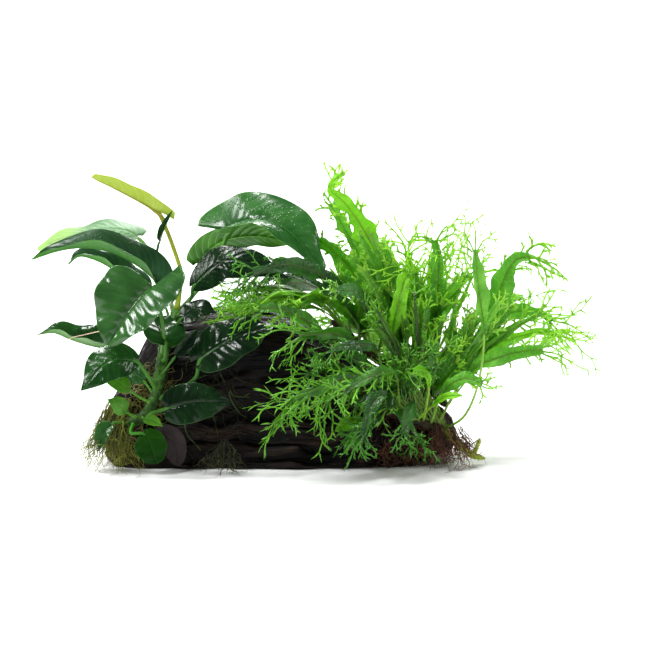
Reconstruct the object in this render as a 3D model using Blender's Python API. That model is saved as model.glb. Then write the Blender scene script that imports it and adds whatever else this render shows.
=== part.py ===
# Java fern and anubias grown onto a piece of driftwood, for a planted tank.
# Metres, +Z up, +X to the right of the front view, +Y to the back.
# The origin is the middle of the flat underside that the driftwood rests on.

import math

import bmesh
import bpy
import numpy as np

MM = 0.001

# Driftwood: one row for each cross-section along X, in millimetres.
# x, underside (z), front of ledge (y), top of ledge (z), recess (y), lip (z), top (z), top (y), back (y)
LOG_SECTIONS = (
    (-106, 5, -20, 17, -17, 22, 27, 0, 16),
    (-101, 0, -31, 21, -25, 31, 37, 2, 26),
    (-91, 0, -35, 22, -28, 42, 52, 4, 31),
    (-80, 0, -37, 20, -31, 50, 73, 8, 35),
    (-68, 0, -37, 23, -29, 57, 82, 9, 36),
    (-54, 0, -39, 26, -26, 62, 84, 11, 39),
    (-40, 0, -36, 22, -26, 65, 88, 11, 37),
    (-27, 0, -38, 26, -24, 67, 86, 13, 40),
    (-14, 0, -38, 24, -25, 68, 89, 12, 37),
    (10, 0, -40, 26, -23, 64, 82, 12, 38),
    (24, 0, -37, 23, -25, 59, 74, 11, 38),
    (40, 0, -38, 26, -24, 49, 60, 10, 35),
    (55, 0, -35, 23, -25, 43, 52, 9, 36),
    (70, 0, -34, 22, -25, 37, 42, 8, 33),
    (82, 2, -31, 21, -23, 31, 37, 6, 28),
    (92, 5, -26, 18, -20, 26, 30, 3, 24),
    (100, 8, -17, 15, -13, 19, 22, 2, 14),
)
LOG_END_SCALE = 0.55
LOG_END_DEPTH = 3.0

# Creeping stems: radius, how much thinner the last fifth gets, and the route over the wood, in millimetres.
RHIZOMES = {
    "anubias_rhizome": (3.6, 0.0, (
        (-95, -40, 27), (-83, -43, 33), (-76, -42, 44), (-73, -37, 59), (-70, -27, 76), (-63, -9, 92),
    )),
    "fern_rhizome_front": (3.0, 0.4, (
        (34, -31, 42), (52, -32, 37), (67, -32, 32), (82, -31, 26), (95, -27, 20), (105, -24, 11),
        (112, -23, 5), (120, -23, 3),
    )),
    "fern_rhizome_top": (3.0, 0.0, (
        (28, 17, 80), (48, 16, 62), (66, 14, 50), (84, 10, 41), (98, 2, 30),
    )),
}
RHIZOME_SIDES = 7
RHIZOME_RINGS = 14
RHIZOME_BULGE = 0.08
RHIZOME_END = 0.6
RHIZOME_THIN_FROM = 0.8
STEM_GAP = {"leaf": 1.4, "frond": 1.0}

# Leaves and fronds: the points of the midrib in millimetres after the place on the rhizome
# where the stalk starts, the point at which the blade starts, the blade's half width,
# and the way its upper face looks.
LEAVES = {
    "anubias_leaf_young_lime": ("anubias_rhizome", 0.97, 4, 3.7, (0.42, 0.5, 0.75), 2.0, 8.0,
        ((-62, -2, 110), (-64, 0, 119), (-71, 3, 138), (-77, 2, 149), (-97, 0, 161), (-115, -3, 170))),
    "anubias_leaf_young_dark": ("anubias_rhizome", 0.86, 2, 1.9, (-0.8, -0.8, 0.1), 1.4, 0.0,
        ((-77, 3, 110), (-75, 0, 131), (-67, -5, 150))),
    "anubias_leaf_back_pale": ("anubias_rhizome", 0.93, 2, 14.0, (0.0, -0.35, 1.0), -0.15, 3.0,
        ((-74, 26, 106), (-91, 40, 128), (-107, 43, 132), (-122, 42, 130), (-138, 40, 126), (-151, 36, 120))),
    "anubias_leaf_arching": ("anubias_rhizome", 0.78, 2, 13.5, (0.0, -0.15, 1.0), 0.9, 3.0,
        ((-75, -16, 92), (-75, -13, 106), (-84, -10, 116), (-102, -9, 126), (-120, -10, 129),
         (-136, -12, 127),
         (-150, -14, 122))),
    "anubias_leaf_under_arch": ("anubias_rhizome", 0.83, 2, 9.5, (0.0, -0.15, 1.0), 0.9, 1.0,
        ((-80, 6, 91), (-82, 7, 101), (-97, 8, 109), (-110, 9, 117), (-123, 8, 121), (-130, 5, 116))),
    "anubias_leaf_heart": ("anubias_rhizome", 0.60, 3, 24.0, (-0.4, -0.87, 0.26), 0.7, 8.0,
        ((-71, -42, 84), (-74, -40, 103), (-77, -46, 111), (-90, -50, 98), (-103, -54, 77))),
    "anubias_leaf_left": ("anubias_rhizome", 0.40, 2, 11.0, (0.0, -0.2, 1.0), 1.0, 3.0,
        ((-92, -22, 62), (-101, -21, 69), (-115, -16, 71), (-127, -13, 74), (-138, -12, 78),
         (-148, -10, 76))),
    "anubias_leaf_lower_left": ("anubias_rhizome", 0.36, 2, 12.0, (-0.1, -1.0, 0.7), -0.2, 4.0,
        ((-82, -50, 62), (-88, -52, 68), (-103, -57, 68), (-118, -62, 52))),
    "anubias_leaf_shaded": ("anubias_rhizome", 0.68, 2, 8.5, (-0.3, -0.9, 1.0), -0.1, 2.0,
        ((-66, -32, 82), (-60, -33, 90), (-50, -32, 96), (-40, -34, 93))),
    "anubias_leaf_centre": ("anubias_rhizome", 0.30, 3, 14.5, (-0.1, -1.0, 0.75), -0.1, 7.0,
        ((-61, -45, 50), (-52, -47, 57), (-48, -48, 69), (-30, -50, 81), (-5, -49, 89))),
    "anubias_leaf_dark_low": ("anubias_rhizome", 0.18, 1, 11.5, (-0.05, -1.0, 0.3), -0.05, 4.0,
        ((-68, -54, 40), (-52, -56, 44), (-31, -56, 44))),
    "anubias_leaf_top": ("anubias_rhizome", 0.99, 2, 17.5, (-0.1, -0.45, 1.0), 0.6, 16.0,
        ((-46, 16, 108), (-33, 16, 134), (-22, 12, 142), (-8, 8, 142), (5, 3, 134), (16, -2, 122),
         (24, -6, 115))),
    "anubias_leaf_green_back": ("anubias_rhizome", 0.91, 2, 11.0, (-0.3, -0.3, 1.0), 0.1, 5.0,
        ((-52, 24, 101), (-50, 28, 115), (-42, 30, 124), (-31, 31, 128), (-15, 31, 129), (5, 29, 125))),
    "anubias_leaf_gloss": ("anubias_rhizome", 0.88, 2, 11.5, (-0.15, -1.0, 0.8), -0.2, 4.0,
        ((-56, -12, 98), (-53, -14, 107), (-37, -16, 121), (-18, -18, 120), (2, -20, 112))),
    "anubias_leaf_round": ("anubias_rhizome", 0.08, 2, 9.5, (0.2, -1.0, 0.3), 0.05, 2.0,
        ((-90, -53, 25), (-82, -57, 25), (-78, -59, 18), (-75, -60, 8))),
    "anubias_leaf_folded_dark": ("anubias_rhizome", 0.02, 2, 5.0, (-0.5, -1.0, 0.4), 0.5, 0.0,
        ((-98, -47, 30), (-101, -50, 30), (-106, -52, 25), (-109, -53, 14))),
    "anubias_leaf_round_small": ("anubias_rhizome", 0.12, 1, 5.0, (0.0, -1.0, 0.3), -0.1, 1.0,
        ((-93, -54, 38), (-97, -57, 43), (-103, -58, 46))),
    "anubias_leaf_light": ("anubias_rhizome", 0.26, 2, 5.0, (0.2, -1.0, 0.6), -0.1, 1.0,
        ((-86, -52, 47), (-91, -54, 51), (-98, -52, 56), (-108, -49, 59))),
    "anubias_leaf_small_dark": ("anubias_rhizome", 0.32, 1, 5.0, (0.3, -1.0, 0.5), -0.1, 1.0,
        ((-83, -38, 53), (-90, -40, 59), (-101, -40, 66))),
    "anubias_leaf_folded_light": ("anubias_rhizome", 0.15, 1, 3.2, (0.0, -1.0, 0.6), 0.4, 0.0,
        ((-82, -54, 34), (-77, -56, 33), (-71, -57, 30))),
    "anubias_leaf_bright_under": ("anubias_rhizome", 0.55, 2, 4.5, (0.1, 0.6, 1.0), -0.2, 0.0,
        ((-78, -41, 68), (-80, -39, 74), (-87, -36, 79), (-97, -36, 84))),
    "anubias_leaf_half_open": ("anubias_rhizome", 0.46, 2, 3.6, (0.4, -1.0, 0.2), 0.6, 0.0,
        ((-67, -44, 58), (-63, -45, 66), (-56, -44, 77), (-50, -43, 86))),
    "anubias_leaf_old_brown": ("anubias_rhizome", 0.0, 2, 7.5, (0.05, -1.0, 0.1), 0.02, 1.0,
        ((-88, -47, 20), (-75, -46, 24), (-66, -46, 18), (-62, -46, 3))),
}

# Fronds: as above, with the reach, spread and droop of the forked tip instead of cup and lobe.
FRONDS = {
    "fern_frond_tall_lime": ("fern_rhizome_top", 0.60, 1, 7.5, (0.2, -1.0, 0.2), 22, 50, 2,
        ((67, 4, 80), (65, 8, 108), (51, 8, 133), (32, 4, 157))),
    "fern_frond_tall_silver": ("fern_rhizome_top", 0.47, 1, 6.5, (0.2, -1.0, 0.2), 18, 45, 4,
        ((60, 20, 84), (47, 26, 113), (35, 26, 136), (27, 22, 150))),
    "fern_frond_tall_shaded": ("fern_rhizome_top", 0.34, 1, 6.0, (0.2, -1.0, 0.2), 20, 45, 6,
        ((52, 33, 82), (42, 38, 104), (30, 39, 118), (20, 37, 126))),
    "fern_frond_wet_bend": ("fern_rhizome_top", 0.40, 1, 6.0, (0.2, -1.0, 0.6), 22, 45, 6,
        ((58, -9, 78), (52, -17, 93), (43, -24, 103), (31, -30, 106))),
    "fern_frond_broad_front": ("fern_rhizome_front", 0.40, 1, 6.5, (0.1, -1.0, 0.1), 14, 40, 4,
        ((64, -22, 74), (67, -24, 96), (71, -20, 110), (74, -9, 113))),
    "fern_frond_upright": ("fern_rhizome_top", 0.86, 1, 5.2, (0.0, -1.0, 0.1), 26, 62, 2,
        ((88, 1, 68), (91, -1, 96), (92, -3, 122), (90, -3, 132))),
    "fern_frond_upright_back": ("fern_rhizome_top", 0.78, 1, 5.5, (0.1, -1.0, 0.1), 18, 45, 4,
        ((92, 22, 69), (99, 28, 90), (110, 31, 106))),
    "fern_frond_curved_stalk": ("fern_rhizome_front", 0.66, 3, 5.2, (0.0, -1.0, 0.0), 28, 55, 0,
        ((107, -31, 31), (115, -33, 52), (118, -33, 80), (115, -31, 102), (112, -28, 130))),
    "fern_frond_broad_right": ("fern_rhizome_top", 0.95, 1, 7.0, (0.0, -1.0, 0.3), 34, 45, 8,
        ((110, 6, 57), (124, 10, 80), (131, 12, 104), (138, 12, 117), (147, 12, 120))),
    "fern_frond_arching_right": ("fern_rhizome_top", 0.90, 1, 5.5, (0.0, -0.8, 0.7), 36, 38, 8,
        ((106, 23, 52), (120, 28, 70), (135, 31, 81), (151, 31, 83), (162, 29, 77))),
    "fern_frond_thin_lime": ("fern_rhizome_top", 0.99, 1, 3.5, (0.0, -1.0, 0.4), 20, 35, 4,
        ((110, -3, 48), (122, -4, 66), (137, -5, 73), (153, -6, 77), (163, -6, 76))),
    "fern_frond_low_right": ("fern_rhizome_front", 0.62, 1, 5.5, (0.0, -0.9, 0.5), 28, 48, 8,
        ((102, -16, 43), (112, -19, 56), (124, -22, 63), (138, -25, 68), (153, -27, 70))),
    "fern_frond_short_right": ("fern_rhizome_front", 0.57, 1, 4.5, (0.0, -0.8, 0.6), 15, 40, 3,
        ((92, -41, 44), (98, -47, 53), (107, -51, 57), (116, -53, 54))),
    "fern_frond_spoon": ("fern_rhizome_front", 0.48, 1, 3.5, (0.0, -0.8, 0.6), 0, 0, 0,
        ((87, -48, 40), (94, -57, 47), (104, -62, 49))),
    "fern_frond_lime_middle": ("fern_rhizome_top", 0.70, 1, 5.5, (0.0, -1.0, 0.1), 20, 50, 3,
        ((77, 14, 70), (77, 18, 94), (74, 18, 114))),
    "fern_frond_arching_left_upper": ("fern_rhizome_top", 0.26, 1, 5.5, (0.3, -0.7, 0.7), 24, 45, 10,
        ((42, -4, 84), (26, -12, 109), (9, -21, 119), (-4, -29, 121), (-18, -37, 117))),
    "fern_frond_arching_left_middle": ("fern_rhizome_top", 0.17, 1, 5.0, (0.3, -0.7, 0.7), 22, 45, 8,
        ((36, 8, 88), (22, 6, 101), (8, 4, 108), (-4, 0, 109), (-14, -3, 106))),
    "fern_frond_arching_left_front": ("fern_rhizome_front", 0.05, 1, 5.0, (0.3, -0.7, 0.7), 26, 45, 10,
        ((27, -28, 74), (11, -34, 89), (-3, -39, 96), (-14, -42, 97))),
    "fern_frond_far_left": ("fern_rhizome_top", 0.07, 1, 5.0, (0.2, -0.6, 0.8), 26, 50, 8,
        ((20, 15, 92), (0, 12, 97), (-16, 4, 96), (-27, -4, 93))),
    "fern_frond_left_short": ("fern_rhizome_front", 0.12, 1, 4.5, (0.3, -0.8, 0.6), 26, 42, 8,
        ((42, -38, 70), (32, -46, 82), (20, -53, 84), (9, -58, 84))),
    "fern_frond_left_dark": ("fern_rhizome_front", 0.29, 1, 4.5, (0.3, -0.8, 0.6), 22, 42, 8,
        ((55, -46, 72), (47, -52, 77), (37, -55, 77), (27, -58, 75))),
    "fern_frond_front_left": ("fern_rhizome_front", 0.19, 1, 5.0, (0.2, -0.9, 0.5), 38, 40, 10,
        ((45, -58, 57), (36, -66, 60), (26, -70, 57), (14, -72, 52))),
    "fern_frond_front_bright": ("fern_rhizome_front", 0.36, 1, 4.5, (0.2, -0.9, 0.5), 22, 42, 8,
        ((66, -62, 60), (59, -72, 65), (50, -78, 63), (35, -81, 55))),
    "fern_frond_down_front": ("fern_rhizome_front", 0.24, 1, 5.5, (0.0, -1.0, 0.3), 21, 45, 2,
        ((60, -52, 45), (57, -64, 50), (51, -73, 44), (46, -77, 30))),
    "fern_frond_down_right": ("fern_rhizome_front", 0.44, 1, 5.0, (0.0, -1.0, 0.3), 19, 42, 2,
        ((76, -54, 44), (73, -66, 40), (70, -72, 28))),
    "fern_frond_pale_short": ("fern_rhizome_front", 0.14, 1, 4.5, (0.1, -0.8, 0.7), 0, 0, 0,
        ((44, -46, 34), (37, -54, 31), (30, -58, 27))),
    "fern_frond_pale_broad": ("fern_rhizome_front", 0.52, 1, 6.0, (0.2, -0.9, 0.5), 0, 0, 0,
        ((85, -50, 52), (82, -60, 62), (75, -68, 64))),
    "fern_frond_back_left": ("fern_rhizome_top", 0.03, 1, 6.0, (0.2, 0.8, 0.6), 24, 45, 10,
        ((26, 42, 90), (6, 60, 96), (-16, 72, 84))),
    "fern_frond_back_middle": ("fern_rhizome_top", 0.54, 1, 6.5, (0.0, 1.0, 0.3), 24, 45, 8,
        ((62, 40, 78), (58, 56, 104), (48, 66, 116))),
    "fern_frond_back_right": ("fern_rhizome_top", 0.82, 1, 6.0, (0.0, 0.9, 0.5), 24, 45, 10,
        ((104, 40, 62), (124, 58, 82), (146, 70, 84))),
}

# Root mats: the middle line from top to floor, half width and half depth at top and floor.
ROOT_MATS = {
    "anubias_roots_left": (((-100, -45, 23), (-102, -49, 14), (-103, -52, 1)), (6.0, 9.0), (2.0, 4.0)),
    "anubias_roots_middle": (((-35, -43, 27), (-36, -45, 14), (-36, -48, 1)), (2.5, 11.0), (1.5, 3.5)),
    "fern_roots": (((93, -34, 15), (97, -36, 9), (99, -38, 1)), (7.0, 13.0), (2.0, 5.0)),
}
ROOT_RINGS = 6
ROOT_SIDES = 8
ROOT_LOWEST = 0.2

STALK_HALF = {"leaf": 1.1, "frond": 0.8}
STALK_THICK = {"leaf": 2.0, "frond": 1.5}
BLADE_THICK = {"leaf": 1.2, "frond": 1.0}
TIP_HALF = 0.5

# A leaf's half width goes as sin(pi t^LEAF_WIDEST)^LEAF_FULLNESS from its base to its tip.
LEAF_WIDEST = 0.66
LEAF_FULLNESS = 0.75
LEAF_EDGE_FLATTER = 0.3

# Rows and columns of a blade, for leaves whose half width is over LEAF_WIDE and for the others.
LEAF_WIDE = 9.5
WIDE_BLADE_GRID = (8, 5)
SMALL_BLADE_GRID = (6, 3)
LEAF_STALK_ROWS = 3

# The lobes beside the stalk fade with this power along the blade. On two leaves one lobe is the longer one.
LOBE_POWER = 4
LOBE_SKEW = {"anubias_leaf_heart": 1.5, "anubias_leaf_top": -0.4}

# A frond's blade opens from its foot over the first share of its length and narrows a little to its end.
FROND_FOOT = 0.35
FROND_OPEN_BY = 0.35
FROND_NARROWER = 0.3

# The four fingers of a frond's tip: share of the spread, share of the reach, place across the blade's end.
FINGERS = ((-1.0, 0.80, -0.75), (-0.35, 1.0, -0.25), (0.35, 0.92, 0.25), (1.0, 0.75, 0.75))
PRONG_HALF = 1.0
PRONG_ANGLE = 0.24
PRONG_SHORTER = 0.9

WOOD_DARK = (0.030, 0.020, 0.014)
LEAF_DARK = (0.020, 0.110, 0.025)
LEAF_LIGHT = (0.160, 0.420, 0.035)
FROND_GREEN = (0.090, 0.420, 0.020)
STEM_GREEN = (0.060, 0.160, 0.030)
RHIZOME_LIME = (0.280, 0.380, 0.030)
ROOT_OLIVE = (0.160, 0.170, 0.030)
ROOT_BROWN = (0.110, 0.050, 0.025)
OLD_LEAF = (0.090, 0.070, 0.060)


def clear_scene():
    for thing in list(bpy.data.objects):
        bpy.data.objects.remove(thing, do_unlink=True)


def finish(name, color, roughness):
    material = bpy.data.materials.new(name + "_material")
    material.use_nodes = True
    shader = material.node_tree.nodes["Principled BSDF"]
    shader.inputs["Base Color"].default_value = (*color, 1.0)
    shader.inputs["Roughness"].default_value = roughness
    shader.inputs["Metallic"].default_value = 0.0
    return material


def add_mesh(name, points, faces, color, roughness):
    mesh = bpy.data.meshes.new(name)
    mesh.from_pydata([tuple(p) for p in np.asarray(points) * MM], [], faces)
    piece = bpy.data.objects.new(name, mesh)
    bpy.context.scene.collection.objects.link(piece)
    mesh.materials.append(finish(name, color, roughness))
    mesh.shade_smooth()
    return piece


def through(points, steps):
    """A smooth curve through the points (Catmull-Rom), resampled at even steps along its length."""
    knots = np.array(points, float)
    ends = np.vstack([2 * knots[0] - knots[1], knots, 2 * knots[-1] - knots[-2]])
    t = np.linspace(0, len(knots) - 1, 40 * len(knots))
    i = np.minimum(t.astype(int), len(knots) - 2)
    f = (t - i)[:, None]
    a, b, c, d = ends[i], ends[i + 1], ends[i + 2], ends[i + 3]
    square = 2 * a - 5 * b + 4 * c - d
    cube = 3 * b - a - 3 * c + d
    curve = 0.5 * (2 * b + (c - a) * f + square * f**2 + cube * f**3)
    length = np.concatenate([[0], np.cumsum(np.linalg.norm(np.diff(curve, axis=0), axis=1))])
    want = np.asarray(steps) * length[-1]
    return np.stack([np.interp(want, length, curve[:, k]) for k in range(3)], axis=1), length[-1]


def unit(vectors):
    return vectors / np.linalg.norm(vectors, axis=-1, keepdims=True)


def frames(line, facing):
    """Tangent, side and upward normal at each point of a line, for a blade that looks to facing."""
    tangent = unit(np.gradient(line, axis=0))
    side = unit(np.cross(np.array(facing, float), tangent))
    return tangent, side, np.cross(tangent, side)


def start_on(kind, rhizome, place, towards):
    """The point just off a creeping stem's bark, on the side that the stalk leaves to."""
    radius, _, route = RHIZOMES[rhizome]
    line, _ = through(route, np.linspace(0, 1, 101))
    at = int(round(place * 100))
    along = unit(line[min(at + 1, 100)] - line[max(at - 1, 0)])
    away = np.array(towards, float) - line[at]
    away = unit(away - along * np.dot(away, along))
    return line[at] + away * (radius + STEM_GAP[kind])


def blade_line(kind, rhizome, place, blade_from, points, stalk_steps, blade_steps):
    """Points along stalk and blade, and how far along the blade each one is (0 on the stalk)."""
    whole = [start_on(kind, rhizome, place, points[0])] + [np.array(p, float) for p in points]
    fine, _ = through(whole, np.linspace(0, 1, 201))
    join = np.argmin(np.linalg.norm(fine - whole[blade_from], axis=1)) / 200
    steps = np.concatenate([
        np.linspace(0, join, stalk_steps, endpoint=False),
        np.linspace(join, 1, blade_steps),
    ])
    line, _ = through(whole, steps)
    return line, np.clip((steps - join) / (1 - join), 0, 1), steps < join


def add_thickness(piece, kind, on_stalk):
    """Gives the sheet its thickness: full on the stalk, thinner on the blade."""
    group = piece.vertex_groups.new(name="thickness")
    thin = BLADE_THICK[kind] / STALK_THICK[kind]
    for index, stalk in enumerate(on_stalk):
        group.add([index], 1.0 if stalk else thin, "REPLACE")
    solid = piece.modifiers.new("thickness", "SOLIDIFY")
    solid.thickness = STALK_THICK[kind] * MM
    solid.offset = 0.0
    solid.vertex_group = "thickness"
    solid.use_rim = True


def strip_faces(rows, columns):
    return [
        (i * columns + j, (i + 1) * columns + j, (i + 1) * columns + j + 1, i * columns + j + 1)
        for i in range(rows - 1)
        for j in range(columns - 1)
    ]


def add_leaf(name, rhizome, place, blade_from, half_width, facing, cup, lobe, points):
    """An anubias leaf: a round stalk that opens into a pointed oval blade, cupped or drooping."""
    rows, columns = WIDE_BLADE_GRID if half_width > LEAF_WIDE else SMALL_BLADE_GRID
    line, along, on_stalk = blade_line("leaf", rhizome, place, blade_from, points, LEAF_STALK_ROWS, rows)
    tangent, side, up = frames(line, facing)
    width = half_width * np.sin(math.pi * along**LEAF_WIDEST) ** LEAF_FULLNESS
    width = np.where(on_stalk, STALK_HALF["leaf"], np.maximum(width, TIP_HALF))
    across = np.linspace(-1, 1, columns)
    reach = width[:, None] * across[None, :]
    lift = cup * np.abs(reach) * (1 - LEAF_EDGE_FLATTER * np.abs(across))
    slip = -lobe * (1 - along[:, None]) ** LOBE_POWER * across**2 * (~on_stalk)[:, None]
    slip = slip * (1 + LOBE_SKEW.get(name, 0.0) * np.sign(across))
    grid = line[:, None] + reach[..., None] * side[:, None] + lift[..., None] * up[:, None]
    grid = grid + slip[..., None] * tangent[:, None]
    faces = strip_faces(len(line), len(across))
    color, roughness = leaf_color(name)
    piece = add_mesh(name, grid.reshape(-1, 3), faces, color, roughness)
    add_thickness(piece, "leaf", np.repeat(on_stalk, len(across)))
    return piece


def leaf_color(name):
    if "old_brown" in name:
        return OLD_LEAF, 0.6
    if any(word in name for word in ("lime", "light", "bright", "pale", "small")):
        return LEAF_LIGHT, 0.35
    return LEAF_DARK, 0.25


def add_frond(name, rhizome, place, blade_from, half_width, facing, reach, spread, droop, points):
    """A fern frond: a thin stalk, a narrow blade, and a tip that forks into four forked fingers."""
    blade_rows = max(5, len(points) + 1)
    line, along, on_stalk = blade_line("frond", rhizome, place, blade_from, points, 2, blade_rows)
    tangent, side, _ = frames(line, facing)
    opening = np.clip(along / FROND_OPEN_BY, 0, 1)
    opening = FROND_FOOT + (1 - FROND_FOOT) * opening**2 * (3 - 2 * opening)
    width = half_width * opening * (1 - FROND_NARROWER * along**3)
    width = np.where(on_stalk, STALK_HALF["frond"], width)
    if not reach:
        width[-1] = TIP_HALF
    grid = line[:, None] + (width[:, None] * np.array([-1.0, 0.0, 1.0]))[..., None] * side[:, None]
    rows = len(line)
    verts = list(grid.reshape(-1, 3))
    faces = strip_faces(rows, 3)
    stalk_flags = list(np.repeat(on_stalk, 3))
    if reach:
        # The last row of three points becomes five, one at each edge of a finger.
        end, ahead, beside = line[-1], tangent[-1], side[-1]
        last = (rows - 1) * 3
        faces = faces[:-2]
        half = width[-1]
        quarter = [len(verts), len(verts) + 1]
        verts += [end - 0.5 * half * beside, end + 0.5 * half * beside]
        edge = [last, quarter[0], last + 1, quarter[1], last + 2]
        faces.append((last - 3, last, quarter[0], last + 1, last - 2))
        faces.append((last - 2, last + 1, quarter[1], last + 2, last - 1))
        for finger, (lean_share, length_share, place_share) in enumerate(FINGERS):
            lean = math.radians(spread) * lean_share
            length = reach * length_share
            base = end + half * place_share * beside

            def out(distance, angle, base=base):
                drop = droop * (distance / reach) ** 2
                flat = math.cos(angle) * ahead + math.sin(angle) * beside
                return base + distance * flat - np.array([0, 0, drop])

            middle = out(0.5 * length, lean)
            sideways = math.cos(lean) * beside - math.sin(lean) * ahead
            first = len(verts)
            verts += [middle - PRONG_HALF * sideways, middle, middle + PRONG_HALF * sideways]
            verts += [out(length, lean - PRONG_ANGLE), out(PRONG_SHORTER * length, lean + PRONG_ANGLE)]
            faces.append((edge[finger], first, first + 1, first + 2, edge[finger + 1]))
            faces.append((first, first + 3, first + 1))
            faces.append((first + 1, first + 4, first + 2))
        stalk_flags += [False] * (len(verts) - len(stalk_flags))
    piece = add_mesh(name, verts, faces, FROND_GREEN, 0.35)
    add_thickness(piece, "frond", stalk_flags)
    return piece


def tube(line, half_wide, half_deep, sides, facing):
    """A closed tube: an ellipse carried along the line, with a point at each end's middle."""
    tangent, side, up = frames(line, facing)
    turn = np.linspace(0, 2 * math.pi, sides, endpoint=False)
    ring = (
        line[:, None]
        + (half_wide[:, None] * np.cos(turn))[..., None] * side[:, None]
        + (half_deep[:, None] * np.sin(turn))[..., None] * up[:, None]
    )
    verts = list(ring.reshape(-1, 3)) + [line[0], line[-1]]
    count = len(line)
    faces = []
    for i in range(count - 1):
        for j in range(sides):
            k = (j + 1) % sides
            faces.append((i * sides + j, i * sides + k, (i + 1) * sides + k, (i + 1) * sides + j))
    first, last = len(verts) - 2, len(verts) - 1
    for j in range(sides):
        k = (j + 1) % sides
        faces.append((first, k, j))
        faces.append((last, (count - 1) * sides + j, (count - 1) * sides + k))
    return verts, faces


def add_rhizome(name):
    """A creeping stem: a tube with a swelling at every other ring, thinner at both ends."""
    radius, thinner, route = RHIZOMES[name]
    steps = np.linspace(0, 1, RHIZOME_RINGS)
    line, _ = through(route, steps)
    bulge = radius * (1 + RHIZOME_BULGE * np.cos(np.arange(RHIZOME_RINGS) * math.pi))
    bulge = bulge * (1 - thinner * np.clip((steps - RHIZOME_THIN_FROM) / (1 - RHIZOME_THIN_FROM), 0, 1))
    bulge[0] *= RHIZOME_END
    bulge[-1] *= RHIZOME_END
    verts, faces = tube(line, bulge, bulge, RHIZOME_SIDES, (0.1, -1.0, 0.4))
    color = STEM_GREEN if name.startswith("anubias") else RHIZOME_LIME
    return add_mesh(name, verts, faces, color, 0.5)


def add_roots(name):
    """A mat of roots as one closed body that widens from the wood down to the floor."""
    route, half_wide, half_deep = ROOT_MATS[name]
    steps = np.linspace(0, 1, ROOT_RINGS)
    line, _ = through(route, steps)
    wide = half_wide[0] + (half_wide[1] - half_wide[0]) * steps
    deep = half_deep[0] + (half_deep[1] - half_deep[0]) * steps
    verts, faces = tube(line, wide, deep, ROOT_SIDES, (0, -1, 0))
    verts = [np.array([p[0], p[1], max(p[2], ROOT_LOWEST)]) for p in verts]
    color = ROOT_BROWN if name == "fern_roots" else ROOT_OLIVE
    return add_mesh(name, verts, faces, color, 0.7)


def log_section(under, front, ledge, recess, lip, top, top_y, back):
    """Points (y, z) round one cross-section, from the front foot over the top to the back foot."""
    return [
        (0.86 * front, under),
        (front, under + 0.22 * ledge),
        (front + 1.0, 0.62 * ledge),
        (front + 3.0, 0.94 * ledge),
        (recess - 4.0, ledge + 1.0),
        (recess + 1.0, ledge + 4.0),
        (recess + 3.0, 0.5 * (ledge + lip) + 2.0),
        (recess + 0.5, lip - 3.0),
        (recess - 2.0, lip + 0.5),
        (recess + 3.0, lip + 0.35 * (top - lip)),
        (0.45 * recess, lip + 0.75 * (top - lip)),
        (top_y - 6.0, top),
        (top_y + 7.0, top - 1.0),
        (0.80 * back, 0.74 * top),
        (back, 0.44 * top),
        (back - 1.0, 0.16 * top),
        (0.82 * back, under),
    ]


def add_log():
    """The driftwood: ledge, recess and crest carried along X, flat underneath, with broken ends."""
    rings = []
    for x, *shape in LOG_SECTIONS:
        rings.append(np.array([(x, y, z) for y, z in log_section(*shape)], float))
    for at, step in ((0, 1), (-1, -1)):
        middle = rings[at].mean(axis=0)
        hollow = middle + LOG_END_SCALE * (rings[at] - middle)
        hollow[:, 0] += step * LOG_END_DEPTH * np.cos(3 * np.arange(len(hollow)))
        rings.insert(0 if step == 1 else len(rings), hollow)
    sides = len(rings[0])
    verts = list(np.concatenate(rings)) + [rings[0].mean(axis=0), rings[-1].mean(axis=0)]
    faces = []
    for i in range(len(rings) - 1):
        for j in range(sides):
            k = (j + 1) % sides
            faces.append((i * sides + j, (i + 1) * sides + j, (i + 1) * sides + k, i * sides + k))
    last = (len(rings) - 1) * sides
    for j in range(sides):
        k = (j + 1) % sides
        faces.append((len(verts) - 2, j, k))
        faces.append((len(verts) - 1, last + k, last + j))
    return add_mesh("driftwood", verts, faces, WOOD_DARK, 0.8)


def face_outwards(piece):
    mesh = bmesh.new()
    mesh.from_mesh(piece.data)
    bmesh.ops.recalc_face_normals(mesh, faces=mesh.faces)
    mesh.to_mesh(piece.data)
    mesh.free()


clear_scene()
face_outwards(add_log())
for rhizome_name in RHIZOMES:
    face_outwards(add_rhizome(rhizome_name))
for roots_name in ROOT_MATS:
    face_outwards(add_roots(roots_name))
for leaf_name, leaf_shape in LEAVES.items():
    add_leaf(leaf_name, *leaf_shape)
for frond_name, frond_shape in FRONDS.items():
    add_frond(frond_name, *frond_shape)
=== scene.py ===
# Looks of a laced java fern and an anubias that grow on a piece of driftwood.
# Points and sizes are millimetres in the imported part's frame, and addPiece turns them into metres.

import math

import bpy
import numpy as np
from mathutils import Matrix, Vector


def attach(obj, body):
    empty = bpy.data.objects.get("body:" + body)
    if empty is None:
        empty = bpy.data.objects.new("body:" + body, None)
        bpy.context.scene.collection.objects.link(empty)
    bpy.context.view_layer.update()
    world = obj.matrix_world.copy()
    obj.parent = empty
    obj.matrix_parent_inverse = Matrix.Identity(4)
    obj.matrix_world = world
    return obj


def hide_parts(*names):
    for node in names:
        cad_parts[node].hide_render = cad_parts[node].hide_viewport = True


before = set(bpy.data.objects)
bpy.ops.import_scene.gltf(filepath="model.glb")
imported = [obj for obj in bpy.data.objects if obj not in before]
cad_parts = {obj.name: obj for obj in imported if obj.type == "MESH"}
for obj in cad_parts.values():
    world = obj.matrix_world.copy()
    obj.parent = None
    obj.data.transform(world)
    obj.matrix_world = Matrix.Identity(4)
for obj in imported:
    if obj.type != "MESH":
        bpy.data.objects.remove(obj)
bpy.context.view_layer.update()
mm = 0.001
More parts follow.
